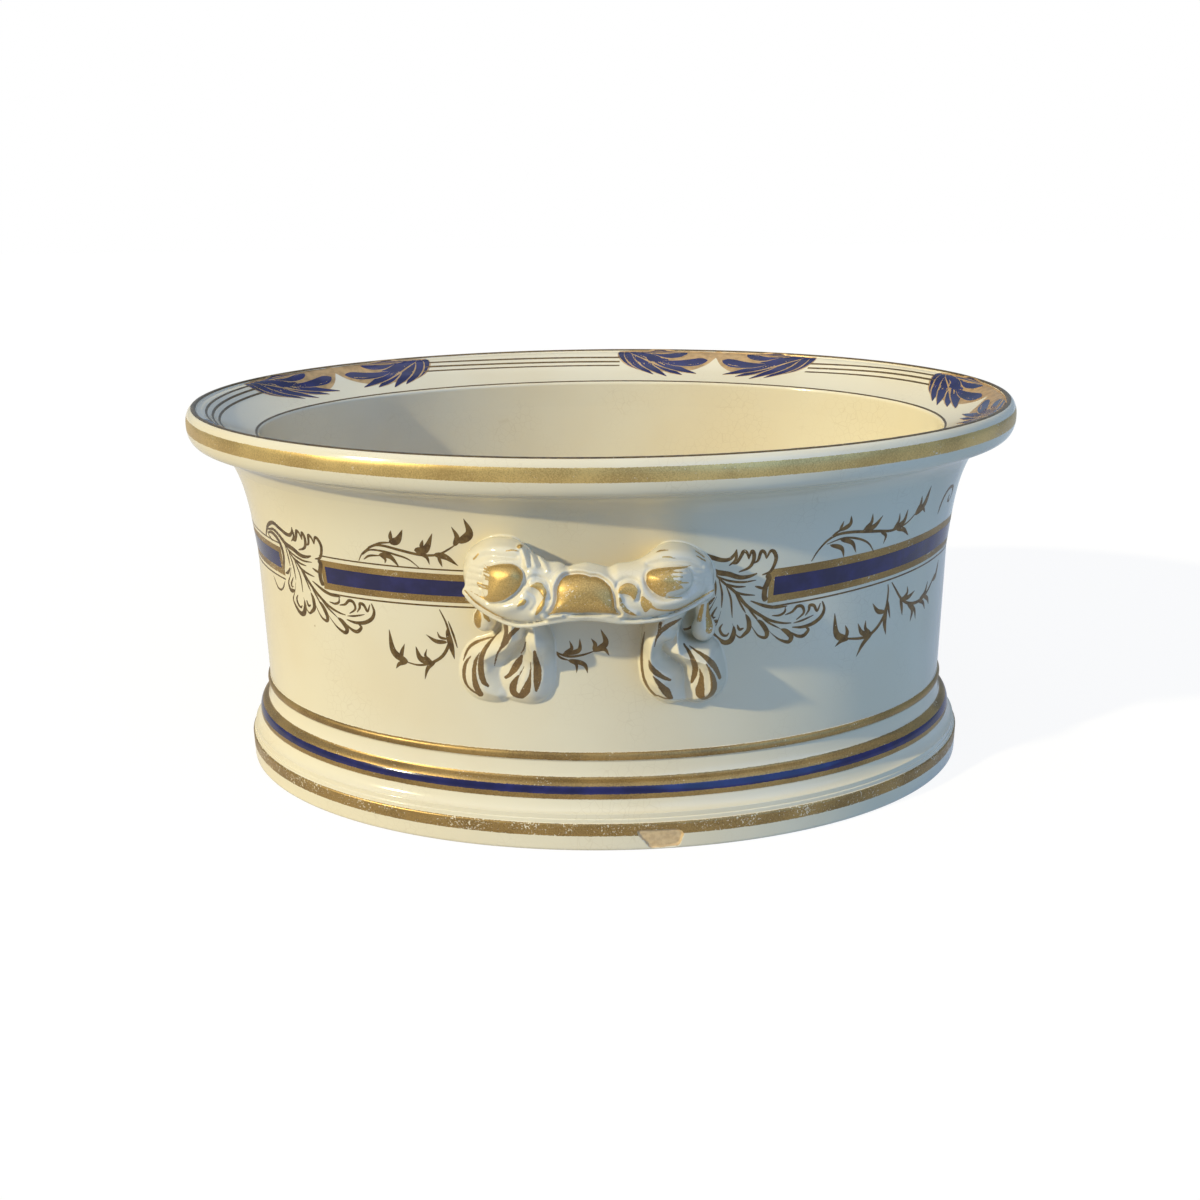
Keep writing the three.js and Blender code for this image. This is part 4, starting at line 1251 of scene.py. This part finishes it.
def gilt_distance(points, depth, outlines, strokes, nearest):
    """Distance of each point of a mesh from the gilding on it, less than nought inside, as the painter saw
    it: from the front and a little above, in a plane one depth out. A stroke's widths are at even steps."""
    x, p = points[:, 0], points[:, 1]
    z = points[:, 2] + (depth - p) * view_fall
    best = np.full(len(points), far_from_gilt)
    front = p > nearest
    for outline in outlines:
        middle = np.mean(outline, axis=0)
        near = front & (np.hypot(x - middle[0], z - middle[1]) < outline_reach)
        best[near] = np.minimum(best[near], outline_distance(x[near], z[near], outline))
    for widths, places in strokes:
        line = curve_through(places, 6 * len(places))
        low, high = line.min(0) - stroke_reach, line.max(0) + stroke_reach
        near = front & (x > low[0]) & (x < high[0]) & (z > low[1]) & (z < high[1])
        d, along = line_distance(x[near], z[near], line)
        width = np.interp(along, np.linspace(0, 1, len(widths)), widths)
        best[near] = np.minimum(best[near], d - width / 2)
    return best


def pillow(d, height, reach):
    """Height of a cushion: a quarter of an oval from its edge, where d is nought, to its flat top."""
    inside = np.clip(-d / reach, 0, 1)
    return height * np.sqrt(1 - (1 - inside) ** 2)


grip_outline = [
    (-63.5, 154), (-60, 145.4), (-54, 139.9), (-46, 135.5), (-38, 133.4), (-30, 133.0), (-20, 135.6),
    (-10, 137.2), (0, 138), (10, 136.7), (20, 135.6), (30, 135.1), (38, 136.5), (46, 139.8), (53, 143.4),
    (58, 146.8), (60.6, 153), (59.6, 160), (55, 165), (48, 169.2), (40, 170.8), (33, 169.4), (27, 165.6),
    (20, 163.8), (13, 163), (9, 161.4), (4, 162.4), (-2, 163.6), (-8, 162.4), (-11, 161.8), (-15, 163.8),
    (-21, 164.2), (-27, 167), (-33, 171.4), (-41, 173.4), (-50, 172.6), (-57, 169), (-62, 163.4),
]
lip_line = [
    (-62.6, 150.4), (-60, 147.8), (-56, 144), (-52, 141.2), (-48, 138.8), (-42.4, 136.4), (-35.9, 134.9),
    (-28.8, 135.3), (-21.8, 136.8), (-12.4, 138.6), (-3.1, 139.4), (4.7, 138.9), (13.7, 137.4),
    (23, 137.1), (32.3, 137.8), (41.6, 140.1), (50.9, 144.4), (55.5, 147.2), (60.4, 150.8),
]
panel_outline = [
    (-20.8, 140.9), (-18.8, 142.1), (-17.9, 143.6), (-16.4, 147.1), (-15.9, 150), (-15.8, 153.9),
    (-14.8, 156.8), (-12.9, 159.8), (-10.1, 161.2), (-6, 161.7), (-2.8, 161.3), (0.1, 160.4),
    (2.9, 160.2), (5.6, 159), (8.3, 156.8), (9.9, 154.4), (10.8, 151.9), (11.3, 149), (11.7, 145.1),
    (12.4, 143.1), (13.8, 141.1), (9.1, 141.7), (4.5, 141.9), (-0.1, 142.2), (-6.8, 142), (-12.3, 142.3),
    (-17, 141.7),
]
left_boss = [
    (-53.3, 167.4), (-49.9, 164.6), (-44.2, 165.8), (-38.6, 166.3), (-35.4, 165.3), (-33.1, 163.2),
    (-32.2, 160.6), (-32.8, 157.4), (-34.3, 154.4), (-36.3, 151.9), (-38.7, 149.9), (-42, 147.8),
    (-45.9, 146.5), (-49.2, 146.4), (-52, 147.5), (-55.2, 149.1), (-59.6, 151.6), (-52.9, 148.9),
    (-49.7, 150), (-49.3, 153.8), (-48.6, 158.7), (-48.8, 162.3),
]
right_boss = [
    (27.2, 159.3), (27.6, 161.7), (29.9, 163.3), (33.1, 163.9), (36.8, 164.2), (41.4, 164.2), (46, 164.3),
    (49.1, 164.8), (46, 163.4), (41.4, 162.9), (39.8, 162.2), (39.6, 160.2), (40.1, 157.8), (41.5, 156.2),
    (43.8, 154.7), (44.4, 153.6), (41.5, 152.5), (38.3, 151.8), (36.6, 150.9), (36.2, 149.5),
    (34.1, 149.8), (31.3, 151.6), (28.6, 154.1), (27.1, 156.6),
]
left_comma = [
    (-28.7, 155.1), (-25.9, 157.1), (-23.1, 156.7), (-21.3, 153.8), (-20.9, 151.9), (-21.9, 149.4),
    (-23.4, 151.4), (-24.8, 153.2), (-26.8, 154.5),
]
right_comma = [
    (13.8, 151.9), (14.3, 154.8), (16.1, 156.2), (18.4, 156.8), (20.7, 156.1), (22.6, 154.1), (23, 152.6),
    (22.1, 149.7), (21.2, 148.2), (19.6, 150.2), (17, 151.4),
]
right_wedge = [
    (24.9, 150.1), (24.4, 146.7), (25.5, 143.3), (26.7, 141.7), (28.1, 142.7), (29.5, 144.6),
    (29.5, 146.6), (27.2, 148.6),
]
left_dome = [
    (-52.6, 157), (-52, 162), (-48, 165.4), (-42, 166.4), (-36, 165.9), (-32.6, 162.4), (-32.2, 158),
    (-34.6, 153.6), (-38.7, 149.4), (-44, 146.4), (-49.6, 146.2), (-52.4, 150.4),
]
right_dome = [
    (27, 158.4), (28, 162.4), (33, 164.4), (40, 164.8), (46.6, 164), (49.6, 160), (49.4, 155),
    (46.4, 151.4), (41, 149.4), (35.6, 149.2), (30, 152.6),
]
grip_strokes = [
    ((0.4, 1.2, 2.2, 2.6, 0.8), [(-21.6, 150), (-22.2, 148.6), (-23, 146.4), (-24.6, 143.6),
                                 (-26.2, 140.8)]),
    ((0.8, 2.6, 2.2), [(-34.9, 144.9), (-33, 146.5), (-31.7, 147.5)]),
    ((0.9, 1.7, 2.1, 1.3, 0.3), [(14.4, 149.4), (15.1, 146.4), (17.4, 143), (20.6, 141), (22.5, 140.3)]),
    ((1.3, 0.9, 0.9, 1.0, 1.0, 0.9, 0.8), [(29.5, 144.6), (32.3, 143), (36.4, 142.3), (41.6, 142.3),
                                           (46.2, 143.8), (55.5, 148.6), (60.6, 151.2)]),
    ((0.6, 1.2, 1.0, 0.6), [(-62.3, 151.4), (-56.8, 145.9), (-48, 140.6), (-43, 138.4)]),
    ((0.8, 0.8), [(-51.5, 163.4), (-48.1, 162.1)]),
    ((0.8, 0.8), [(-51.6, 162), (-48.1, 160.8)]),
    ((0.8, 0.8), [(-51.4, 160), (-48.2, 158.7)]),
    ((0.8, 0.8), [(-50.6, 158.1), (-47.8, 157.3)]),
    ((0.5, 0.9, 0.9), [(-55.6, 156.1), (-53.1, 155.1), (-48.9, 154.3)]),
    ((0.5, 0.8, 0.9), [(-55.4, 154.9), (-53.1, 153.6), (-49, 153)]),
    ((0.9, 0.5), [(39.4, 161.6), (44.4, 161.2)]),
    ((0.9, 0.5), [(39.4, 159.5), (44.5, 158.9)]),
    ((1.0, 0.5), [(40, 157.3), (44.2, 156.8)]),
    ((0.9, 0.5), [(42.8, 156.2), (47.7, 155.8)]),
    ((0.9, 0.5), [(41.5, 153.8), (44.7, 153.4)]),
    ((0.6, 0.4), [(37.6, 149.1), (44.3, 148.3)]),
    ((0.5, 0.9, 0.7), [(-40.7, 172.8), (-37.6, 173.3), (-34.6, 173)]),
    ((0.9, 0.9), [(-57.2, 167.9), (-54.8, 170.5)]),
    ((2.2, 2.2), [(-34.4, 175.3), (-33.8, 175.5)]),
    ((0.4, 0.9, 0.4), [(32, 172.2), (35, 173), (38, 173)]),
    ((0.4, 0.9, 0.4), [(35, 169.6), (38.6, 169.4), (41.6, 168.4)]),
    ((0.5, 0.8), [(51.6, 172), (56, 168.6)]),
    ((0.5, 0.8), [(52, 169.4), (56.4, 166.6)]),
]
ear_strokes = [
    ((1.2, 3.8, 4.2, 3.0), [(-57.4, 134.4), (-57.6, 131.6), (-57.8, 128.6), (-57.7, 126)]),
    ((0.8, 2.4, 1.4), [(-54.6, 132.8), (-53.2, 130.8), (-51.8, 128.8)]),
    ((0.8, 2.0, 2.4), [(56.5, 139.5), (55.3, 134), (54.3, 128.7)]),
    ((1.0, 2.8, 3.6, 3.6), [(58.9, 141), (59, 131.2), (59.5, 125.4), (59.3, 122.8)]),
]
grip_ridges = [
    (1.5, 3.0, [(-28.6, 167), (-28.6, 160), (-30, 153), (-34.4, 147), (-41, 143.2), (-49, 142.8),
                (-56, 146.2), (-61, 151.6)]),
    (-0.9, 0.8, [(-62.3, 151.1), (-56.8, 145.5), (-48, 140.1), (-42.4, 137.5), (-35.9, 136), (-28.8, 136.4),
                 (-21.8, 137.9)]),
    (-0.8, 0.8, [(-12.4, 140.0), (-3.1, 140.8), (13.7, 138.8), (23, 138.3), (32.3, 139), (41.6, 141.3),
                 (50.9, 145.7), (60.6, 151.9)]),
    (1.2, 2.4, [(-58, 170), (-51, 174), (-42, 175), (-36, 174)]),
    (-1.1, 1.3, [(-57, 166.8), (-51, 169.8), (-43, 169.8), (-36, 169.6)]),
    (1.7, 1.1, [(-33.8, 176.4), (-32.3, 172.8), (-31.3, 169.5), (-30.4, 165.4)]),
    (-0.8, 0.6, [(-32, 176.4), (-30.2, 172), (-29, 168.6), (-28.2, 165.4)]),
    (0.7, 0.7, [(-30.8, 176), (-28.6, 172), (-27, 168.4), (-26, 165.6)]),
    (-0.8, 0.6, [(-29.4, 175.4), (-26.8, 171.6), (-25, 168), (-23.6, 165.4)]),
    (1.0, 1.2, [(-27.7, 174.8), (-24.8, 171), (-22, 167), (-20.4, 163.4)]),
    (1.5, 1.6, [(-22.4, 151), (-22.4, 147.6), (-24, 144.2), (-27, 140.8)]),
    (-1.0, 0.8, [(-31, 156), (-29, 159.4), (-25, 160), (-20.6, 157.6), (-18.8, 152), (-19.6, 146),
                 (-23.2, 141.4)]),
    (-0.8, 0.8, [(-29.6, 152.4), (-26.6, 150.2), (-26, 147), (-28, 143)]),
    (0.9, 2.8, [(-27, 163.6), (-20, 162.6), (-14.6, 163)]),
    (1.2, 1.4, [(-34.9, 144.9), (-33, 146.5), (-31.7, 147.5)]),
    (1.3, 2.5, [(25, 159), (24.4, 154.6), (26.6, 150.6), (31, 146.6), (38, 145.4), (47, 147),
                (54.6, 151.4)]),
    (1.2, 2.8, [(28, 169), (36, 172.6), (46, 172.4), (55, 168)]),
    (-1.0, 1.2, [(28, 166), (37, 167.2), (47, 167), (54.6, 164)]),
    (1.3, 1.4, [(14.6, 149.8), (15, 146.6), (17.4, 143.2), (22, 140.8)]),
    (-0.9, 0.8, [(13, 146), (12.4, 151), (13.2, 156.6), (17.6, 159.2), (22.6, 157.6), (24.2, 153),
                 (23.2, 148)]),
    (0.9, 3.2, [(14, 163), (20, 163), (26, 164)]),
    (0.8, 3.0, [(-7, 164.6), (0, 165), (6, 163.4)]),
    (-0.6, 0.6, [(-60, 164.8), (-55, 163.6), (-51.6, 163.4)]),
    (-0.6, 0.6, [(-61, 161.4), (-56, 160.4), (-51.6, 160)]),
    (-0.6, 0.6, [(-61.6, 157.6), (-57, 157.2), (-53, 156.4)]),
    (-0.6, 0.6, [(-60.6, 153.6), (-57, 154), (-53.4, 153.6)]),
    (-0.6, 0.6, [(44.4, 161.2), (51, 162), (58, 161.4)]),
    (-0.6, 0.6, [(44.5, 158.9), (51, 159), (59, 158)]),
    (-0.6, 0.6, [(44.2, 156.6), (51, 156.2), (58.4, 154.6)]),
    (1.3, 1.1, [(-34.3, 175.3), (-33.9, 175.5)]),
]

grip_spans, (x3, p3, z3) = field_grid(*grip_ends)
span_x, _, span_z = grip_spans
flat_x, flat_z = np.meshgrid(span_x, np.arange(span_z[0], relief_top, grain), indexing="ij")

# The relief, as it is seen: the cushion panel in its sunk frame, the two bosses, the commas, and the ridges.
cushion = outline_distance(flat_x, flat_z, panel_outline)
relief = pillow(cushion, *cushion_rise)
relief = relief + rounded(cushion, *cushion_frame) + rounded(cushion, *cushion_groove)
for dome_outline in (left_dome, right_dome):
    dome = outline_distance(flat_x, flat_z, dome_outline)
    relief += pillow(dome, *boss_rise) + rounded(dome, *boss_groove)
for comma_outline in (left_comma, right_comma):
    relief += pillow(outline_distance(flat_x, flat_z, comma_outline) - comma_spread, *comma_rise)
for height, width, line in grip_ridges:
    relief += ridge(height, width, flat_x, flat_z, line)

# The bar, thicker and set further back at its ends, with its upper edge leaning back.
body_outline = outline_distance(flat_x[:, :len(span_z)], flat_z[:, :len(span_z)], grip_outline)
from_middle = np.abs(span_x - bar_middle)
end_share = eased(np.clip((from_middle - end_from) / end_run, 0, 1))[:, None, None]
end_fall = tip_fall * (np.clip(from_middle - tip_from, 0, None) ** 2)[:, None, None]
lean_back = top_lean * np.clip(span_z - top_lean_from, 0, None)[None, None, :]
middle_p = bar_proud - end_drop * end_share - end_fall - lean_back
half_thick = bar_half_thick + end_swell * end_share - end_fall
grip = swollen(body_outline[:, None, :], edge_round, p3, middle_p, half_thick)

# The thin lip along its lower edge, a tube about a line that falls back towards the ends.
lip = np.array(lip_line)
lip_p = lip_proud - lip_drop * np.clip((from_middle - lip_drop_from) / lip_drop_run, 0, 1) ** 1.6
lip_z = np.interp(span_x, lip[:, 0], lip[:, 1]) - (painted_depth - lip_p) * view_fall
slope = np.cos(np.arctan(np.gradient(lip_z, grain)))[:, None, None]
past_end = np.clip(np.abs(span_x - lip_middle) - lip_half_length, 0, None)[:, None, None]
lip_tube = np.hypot(p3 - lip_p[:, None, None], z3 - lip_z[:, None, None]) * slope
grip = soft_join(grip, np.hypot(lip_tube, past_end) - lip_radius, lip_join)

# The relief is laid on as it is seen from the front and a little above, and it fades out towards the wall.
seen_row = (z3[0] + (painted_depth - p3[0]) * view_fall - flat_z[0, 0]) / grain
row = np.clip(seen_row.astype(int), 0, flat_z.shape[1] - 2)
part = np.clip(seen_row - row, 0, 1)[None]
laid = relief[:, row] * (1 - part) + relief[:, row + 1] * part
grip -= laid * np.clip((p3 - relief_from) / relief_run, 0, 1)

# The two roots that carry it, flared where they meet the wall, and a scrolled lobe on a neck under each end.
for root_x, root_z in root_places:
    spread = root_flare * np.exp(-np.clip(p3, 0, None) / flare_fade)
    across = (x3 - root_x) / (root_half_across + spread)
    root = (np.hypot(across, (z3 - root_z) / (root_half_high + spread)) - 1) * root_mean_radius
    grip = soft_join(grip, np.maximum(root, p3 - root_end), root_join)
for ear_x, ear_z, neck_x in ears:
    ear = np.sqrt((x3 - ear_x) ** 2 + (p3 - ear_proud) ** 2 + ((z3 - ear_z) / ear_tall) ** 2) - ear_radius
    neck_line = neck_x + (ear_x - neck_x) * np.clip((neck_top - z3) / (neck_top - ear_z), 0, 1)
    neck = np.hypot(x3 - neck_line, p3 - neck_proud - neck_lean * (z3 - ear_z)) - neck_radius
    neck = np.maximum(neck, np.maximum(ear_z - z3, z3 - neck_cut))
    grip = soft_join(grip, soft_join(ear, neck, ear_join), ear_join)
grip_field = luted(grip, p3, z3, wall_share=0.96, reach=3.4, skin=7.0)
grip_points, grip_faces = nought_surface(grip_field, grip_spans)

gilt_outlines = [panel_outline, left_boss, right_boss, left_comma, right_comma, right_wedge]
grip_gilding = gilt_distance(grip_points, painted_depth, gilt_outlines, grip_strokes, painted_from)
ear_gilding = gilt_distance(grip_points, ear_depth, [], ear_strokes, ear_painted_from)
ear_gilding = np.where(grip_points[:, 2] < ear_paint_top, ear_gilding, far_from_gilt)
grip_gilding = np.minimum(grip_gilding, ear_gilding)


def gilt_glaze(name, wear, bright, deep, metal, rough):
    """Cream glaze that drifts a little warmer in patches, and gilt where the kept distance from the gilding
    is less than nought."""
    material, tree, shader = new_material(name)
    kept = add_node(tree, "ShaderNodeAttribute", attribute_name="gilt_distance")
    edge = sum_node(tree, "ADD", kept.outputs["Fac"], wander(tree, 0.7, 700.0, 3.0, 0.6))
    gold_mask = step_down(tree, edge, -0.06, 0.1)
    gold_left = sum_node(tree, "MULTIPLY", gold_mask, unrubbed(tree, wear))
    under = glaze_colour(tree, handle_cream, handle_cream_warm)
    lay_gold(tree, shader, gold_left, under, bright, deep, metal, rough)
    return material


unbroken = 180.0
handle_glaze = gilt_glaze("handle_glaze", 0.6, handle_bright, handle_deep, 0.6, 0.46)
for place, back in handles:
    points = front_point(*grip_points.T, back)
    piece = make_piece(f"{place}_grip", points, grip_faces, handle_glaze, "cream_glaze",
                       edge_angle=unbroken, gilt_distance=grip_gilding)
    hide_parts(f"{place}_handle_grip")

# Leaves under each handle.
# Below each end of the grip a leaf of two round-ended petals lies on the wall, pressed with the grip and
# luted on. An S-shaped valley parts the petals, and each is combed with gilt strokes. The rises of a leaf are
# how proud its domes are below and above, how fast they grow from the valley, and where the upper one sets
# in and over what height.
# The leaves' gold is darker than the grip's as painted shade: the leaves lie under the grip, and their gold
# shows dark surroundings.
leaf_gold_painted_shade = (0.27, 0.165, 0.06, 1)
leaf_gold_deep_painted_shade = (0.16, 0.095, 0.04, 1)
leaf_depth = 13.0
leaf_painted_from = 1.5
petal_round = 12.0
petal_edge = 1.3
petal_edge_run = 0.8
valley_lip = 1.8
full_from = 101.0
full_run = 22.0
stroke_sink = 0.25
steepest = 2.5
leaf_out_span = (-4.0, 34.0)
leaf_up_span = (72.0, 148.0)
left_leaf_span = (-74.6, -12.0)
right_leaf_span = (14.6, 79.0)
left_leaf_rises = (6.0, 24.0, 0.7, 100.0, 24.0)
right_leaf_rises = (10.0, 24.0, 0.5, 76.0, 40.0)
left_leaf_outline = [
    (-47.4, 142), (-47.2, 136), (-46.6, 129), (-46.4, 123.6), (-48.6, 119.8), (-52, 117.2),
    (-56.1, 115.5), (-60.2, 114.2), (-64, 111.5), (-67, 107.5), (-69.1, 102), (-70, 96.1), (-69.8, 90.7),
    (-68.4, 87), (-65.7, 83.8), (-62.6, 81.2), (-58.1, 79.6), (-52.1, 79.1), (-47.9, 79.6), (-45.1, 81.3),
    (-41.5, 80.5), (-37, 79.6), (-33, 79.2), (-28.9, 79.9), (-25.2, 82), (-22.4, 85.5), (-20.5, 90.4),
    (-19.5, 96.2), (-19.1, 104.8), (-19.3, 114.3), (-20.7, 119.9), (-22.8, 124.6), (-24, 131), (-25, 142),
]
right_leaf_outline = [
    (31, 142), (29.4, 135), (27, 129), (25.4, 122), (24.5, 111.9), (23.9, 103.5), (24.8, 95),
    (26.4, 90.2), (29.2, 85.8), (32.4, 82.6), (36.4, 80), (40.4, 78.8), (44.4, 79.3), (47.6, 80.2),
    (50, 80), (52, 79), (56.5, 78.4), (60.5, 79.1), (64.1, 80.7), (66.9, 83.5), (69.3, 87.6), (70, 91.8),
    (69.5, 98.3), (68.2, 104), (66.5, 109.3), (64.4, 112.8), (61, 115.4), (55, 116.2), (49.2, 116.6),
    (46.3, 119.6), (45.6, 124), (47, 129), (49.4, 134), (50, 142),
]
left_valley = [
    (-33, 126), (-34.5, 121), (-36.2, 117.8), (-38.1, 113.5), (-40.9, 109.1), (-43.7, 105.6),
    (-45.5, 103.2), (-47.9, 99.2), (-48.5, 94.9), (-46.9, 89.7), (-44.8, 85.5), (-45, 79),
]
right_valley = [
    (43, 125), (41.1, 120.1), (36.6, 117.6), (35.7, 113.8), (37.2, 110.3), (40.8, 106.8), (43.9, 103.7),
    (46.3, 101.4), (47.5, 96.3), (47.2, 89.9), (48.1, 83.4), (49, 78),
]
left_folds = [
    (1.2, 1.6, [(-32.4, 122.4), (-31.2, 117.8), (-30, 113.2), (-30.6, 107)]),
    (0.9, 1.8, [(-36, 113), (-38.6, 108), (-41.6, 104)]),
    (0.7, 2.2, [(-50.6, 116), (-54, 108), (-54.6, 100)]),
    (-0.5, 1.4, [(-59.4, 106), (-59.8, 98), (-58.4, 91)]),
    (-0.5, 1.4, [(-34.6, 106), (-36.4, 98), (-38.4, 92)]),
    (0.6, 1.8, [(-25, 112), (-24.6, 104), (-25.4, 95)]),
]
right_folds = [
    (1.0, 1.8, [(30, 120), (29.6, 112), (33, 105), (40, 99.6)]),
    (0.8, 1.8, [(46.4, 110), (49, 104), (49.6, 98)]),
    (-0.6, 1.5, [(53.6, 106), (54, 98), (53.6, 91)]),
    (-0.5, 1.4, [(58.4, 103), (59.2, 96), (58.8, 90)]),
    (-0.5, 1.4, [(31, 98), (34, 93), (37.6, 89.6)]),
    (0.7, 2.0, [(62, 108), (65.4, 102), (66.6, 95)]),
]
left_leaf_strokes = [
    ((0.4, 1.2, 1.8, 1.8, 1.6, 0.5), [(-50.6, 120.2), (-55.1, 118.7), (-60.1, 116.5), (-63.9, 113.6),
                                      (-66.1, 109.6), (-67.6, 105.7)]),
    ((0.5, 1.6, 2.1, 2.1, 1.5, 1.3, 1.2), [(-63, 108.7), (-65.6, 105.4), (-67.2, 101), (-67.4, 96.2),
                                           (-66.2, 92), (-63.6, 89.3), (-60.1, 87.2)]),
    ((0.4, 1.8, 2.2, 2.7, 3.5, 3.6), [(-57.9, 111.2), (-60.4, 106.3), (-61.5, 101.5), (-61.5, 96.7),
                                      (-60.8, 92), (-59.1, 87.8)]),
    ((0.4, 0.9, 2.0, 2.7, 3.1, 3.3, 2.9, 1.6), [(-45.5, 125.1), (-50.1, 120.2), (-53.4, 115.8),
                                                (-56.3, 110.4), (-57.7, 104.6), (-57.7, 98.9),
                                                (-56.6, 94.7), (-54.6, 92.7)]),
    ((2.9, 2.5, 2.6, 2.3), [(-42.8, 127.1), (-42.7, 123.9), (-43.5, 120.1), (-45, 116.3)]),
    ((2.2, 2.2, 2.6, 1.3, 0.9, 0.7, 0.4), [(-36.7, 126.3), (-40.3, 122.6), (-43.1, 118.3), (-46.4, 114.4),
                                           (-48.7, 110.5), (-50.2, 106.6), (-50.8, 104.2)]),
    ((0.8, 0.9, 0.5), [(-33.2, 118.7), (-34.4, 115), (-36.3, 112.1)]),
    ((1.4, 3.6, 3.8, 2.2, 1.6), [(-35.9, 110.7), (-37.8, 107.3), (-40.1, 103.4), (-42.7, 99.9),
                                 (-45.2, 97.9)]),
    ((0.5, 0.5), [(-35.2, 104.6), (-37.5, 100.2)]),
    ((0.8, 2.6, 3.9, 3.8, 3.2, 2.8), [(-38, 99.7), (-39.9, 96.8), (-41.3, 93.4), (-41.4, 90), (-39.3, 88.2),
                                      (-37, 87.8)]),
    ((0.3, 0.8, 1.6, 3.4, 4.6, 4.0), [(-31.5, 107.6), (-31.8, 102.4), (-32.4, 98.6), (-33.3, 95.2),
                                      (-34.5, 91.8), (-36.1, 89.3)]),
    ((1.4, 3.0, 4.1, 4.2, 3.2, 1.2), [(-28.7, 114), (-28.5, 108.2), (-28.2, 103.5), (-28.4, 98.7),
                                      (-28.8, 94.9), (-29.3, 91.5)]),
]
right_leaf_strokes = [
    ((0.6, 2.2, 2.8, 2.0, 1.1, 0.3), [(44.8, 130.7), (40.9, 128.7), (37.1, 126.6), (34, 123.7),
                                      (32.3, 120.5), (31.5, 116.4)]),
    ((1.6, 1.3, 0.6), [(34.4, 128.8), (33.8, 126.2), (33, 122.9)]),
    ((0.5, 1.0, 1.2, 1.6, 2.0, 2.0, 1.4, 0.6), [(26.7, 124), (25.7, 117.4), (25.3, 111.2), (25.3, 105),
                                                (26.1, 98.6), (28.6, 92.6), (32.1, 88.7), (33.7, 88.2)]),
    ((0.5, 2.6, 3.0, 2.2, 1.9, 1.2), [(28.7, 108.8), (30.1, 104.8), (32.5, 101.9), (35.6, 99.5), (38, 98.1),
                                      (39.9, 97.3)]),
    ((0.4, 2.0, 3.4, 4.4, 3.2, 1.2), [(30.7, 100.3), (33.1, 97.1), (35.6, 93.6), (37.8, 90.9), (39.4, 88.5),
                                      (41, 86.9)]),
    ((0.8, 1.1, 1.0), [(33.7, 88.4), (37.2, 86.9), (40.4, 86.7)]),
    ((0.8, 1.8, 2.6, 2.9, 2.8, 1.9, 1.0), [(46.6, 116.6), (49.2, 112.3), (51.2, 107.3), (52.5, 103.5),
                                           (52.3, 99.3), (51.5, 96.4), (51, 94.7)]),
    ((0.4, 1.9, 2.9, 4.6, 4.4, 2.4), [(54.6, 102.7), (55.7, 98.6), (55.7, 94.8), (55.3, 91), (55.6, 88),
                                      (57, 85.7)]),
    ((0.4, 1.2, 2.6, 3.4, 3.7, 3.2, 2.2, 1.6), [(57.3, 105.8), (59.4, 102.3), (61.2, 98.1), (62.1, 94.2),
                                                (62.3, 90.4), (61.2, 87.5), (59, 85.5), (57, 85.1)]),
    ((0.5, 0.9, 1.8, 2.9, 3.1, 2.6, 1.9), [(49.6, 115.3), (52.3, 113), (55.5, 110.6), (58.7, 107.6),
                                           (61.5, 104.4), (63.7, 100.8), (65.6, 96.4)]),
]


def leaf_height(x, z, outline, valley, folds, strokes, low_dome, high_dome, hollow, rise_start, rise_run):
    """How far the leaf stands out from the wall over the grid: two domes parted by the valley, growing
    upwards into the stem, with raised and sunk folds and a shallow hollow along every stroke."""
    depth = -outline_distance(x, z, outline)
    apart, _ = line_distance(x, z, curve_through(valley, 60))
    from_edge = np.clip(depth, 0, None)
    in_petal = np.clip(np.minimum(from_edge, hollow * apart + valley_lip), 0, petal_round)
    jut = eased(np.clip((z - rise_start) / rise_run, 0, 1))
    fullness = 1.15 - 0.75 * eased(np.clip((z - full_from) / full_run, 0, 1))
    rise = low_dome + (high_dome - low_dome) * jut
    dome = rise * np.sin(math.pi / 2 * in_petal / petal_round) ** fullness
    height = np.where(depth > 0, petal_edge * (1 - np.exp(-from_edge / petal_edge_run)), depth) + dome
    for fold, width, places in folds:
        height += ridge(fold, width, x, z, places)
    seen_z = z + (leaf_depth - height) * view_fall
    for widths, places in strokes:
        height += ridge(-stroke_sink, max(widths) * 0.5, x, seen_z, places)
    return height


# The leaves get the darker gold, which is painted shade.
leaf_glaze = gilt_glaze("leaf_glaze", 0.35, leaf_gold_painted_shade, leaf_gold_deep_painted_shade, 0.5, 0.4)
for leaf_name, across, rises, outline, valley, folds, strokes in (
    ("left", left_leaf_span, left_leaf_rises, left_leaf_outline, left_valley, left_folds, left_leaf_strokes),
    ("right", right_leaf_span, right_leaf_rises, right_leaf_outline, right_valley, right_folds,
     right_leaf_strokes),
):
    leaf_spans, (x3, p3, z3) = field_grid(across, leaf_out_span, leaf_up_span)
    height = leaf_height(x3[:, 0], z3[:, 0], outline, valley, folds, strokes, *rises)
    steep = np.minimum(np.hypot(*np.gradient(height, grain)), steepest)
    leaf = (p3 - height[:, None, :]) / np.sqrt(1 + steep**2)[:, None, :]
    leaf_field = luted(leaf, p3, z3, wall_share=0.98, reach=1.6, skin=3.0)
    leaf_points, leaf_faces = nought_surface(leaf_field, leaf_spans)
    gilding = gilt_distance(leaf_points, leaf_depth, [], strokes, leaf_painted_from)
    for place, back in handles:
        points = front_point(*leaf_points.T, back)
        piece = make_piece(f"{place}_petals_{leaf_name}", points, leaf_faces, leaf_glaze, "cream_glaze",
                           edge_angle=unbroken, gilt_distance=gilding)
        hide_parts(f"{place}_leaf_{leaf_name}")
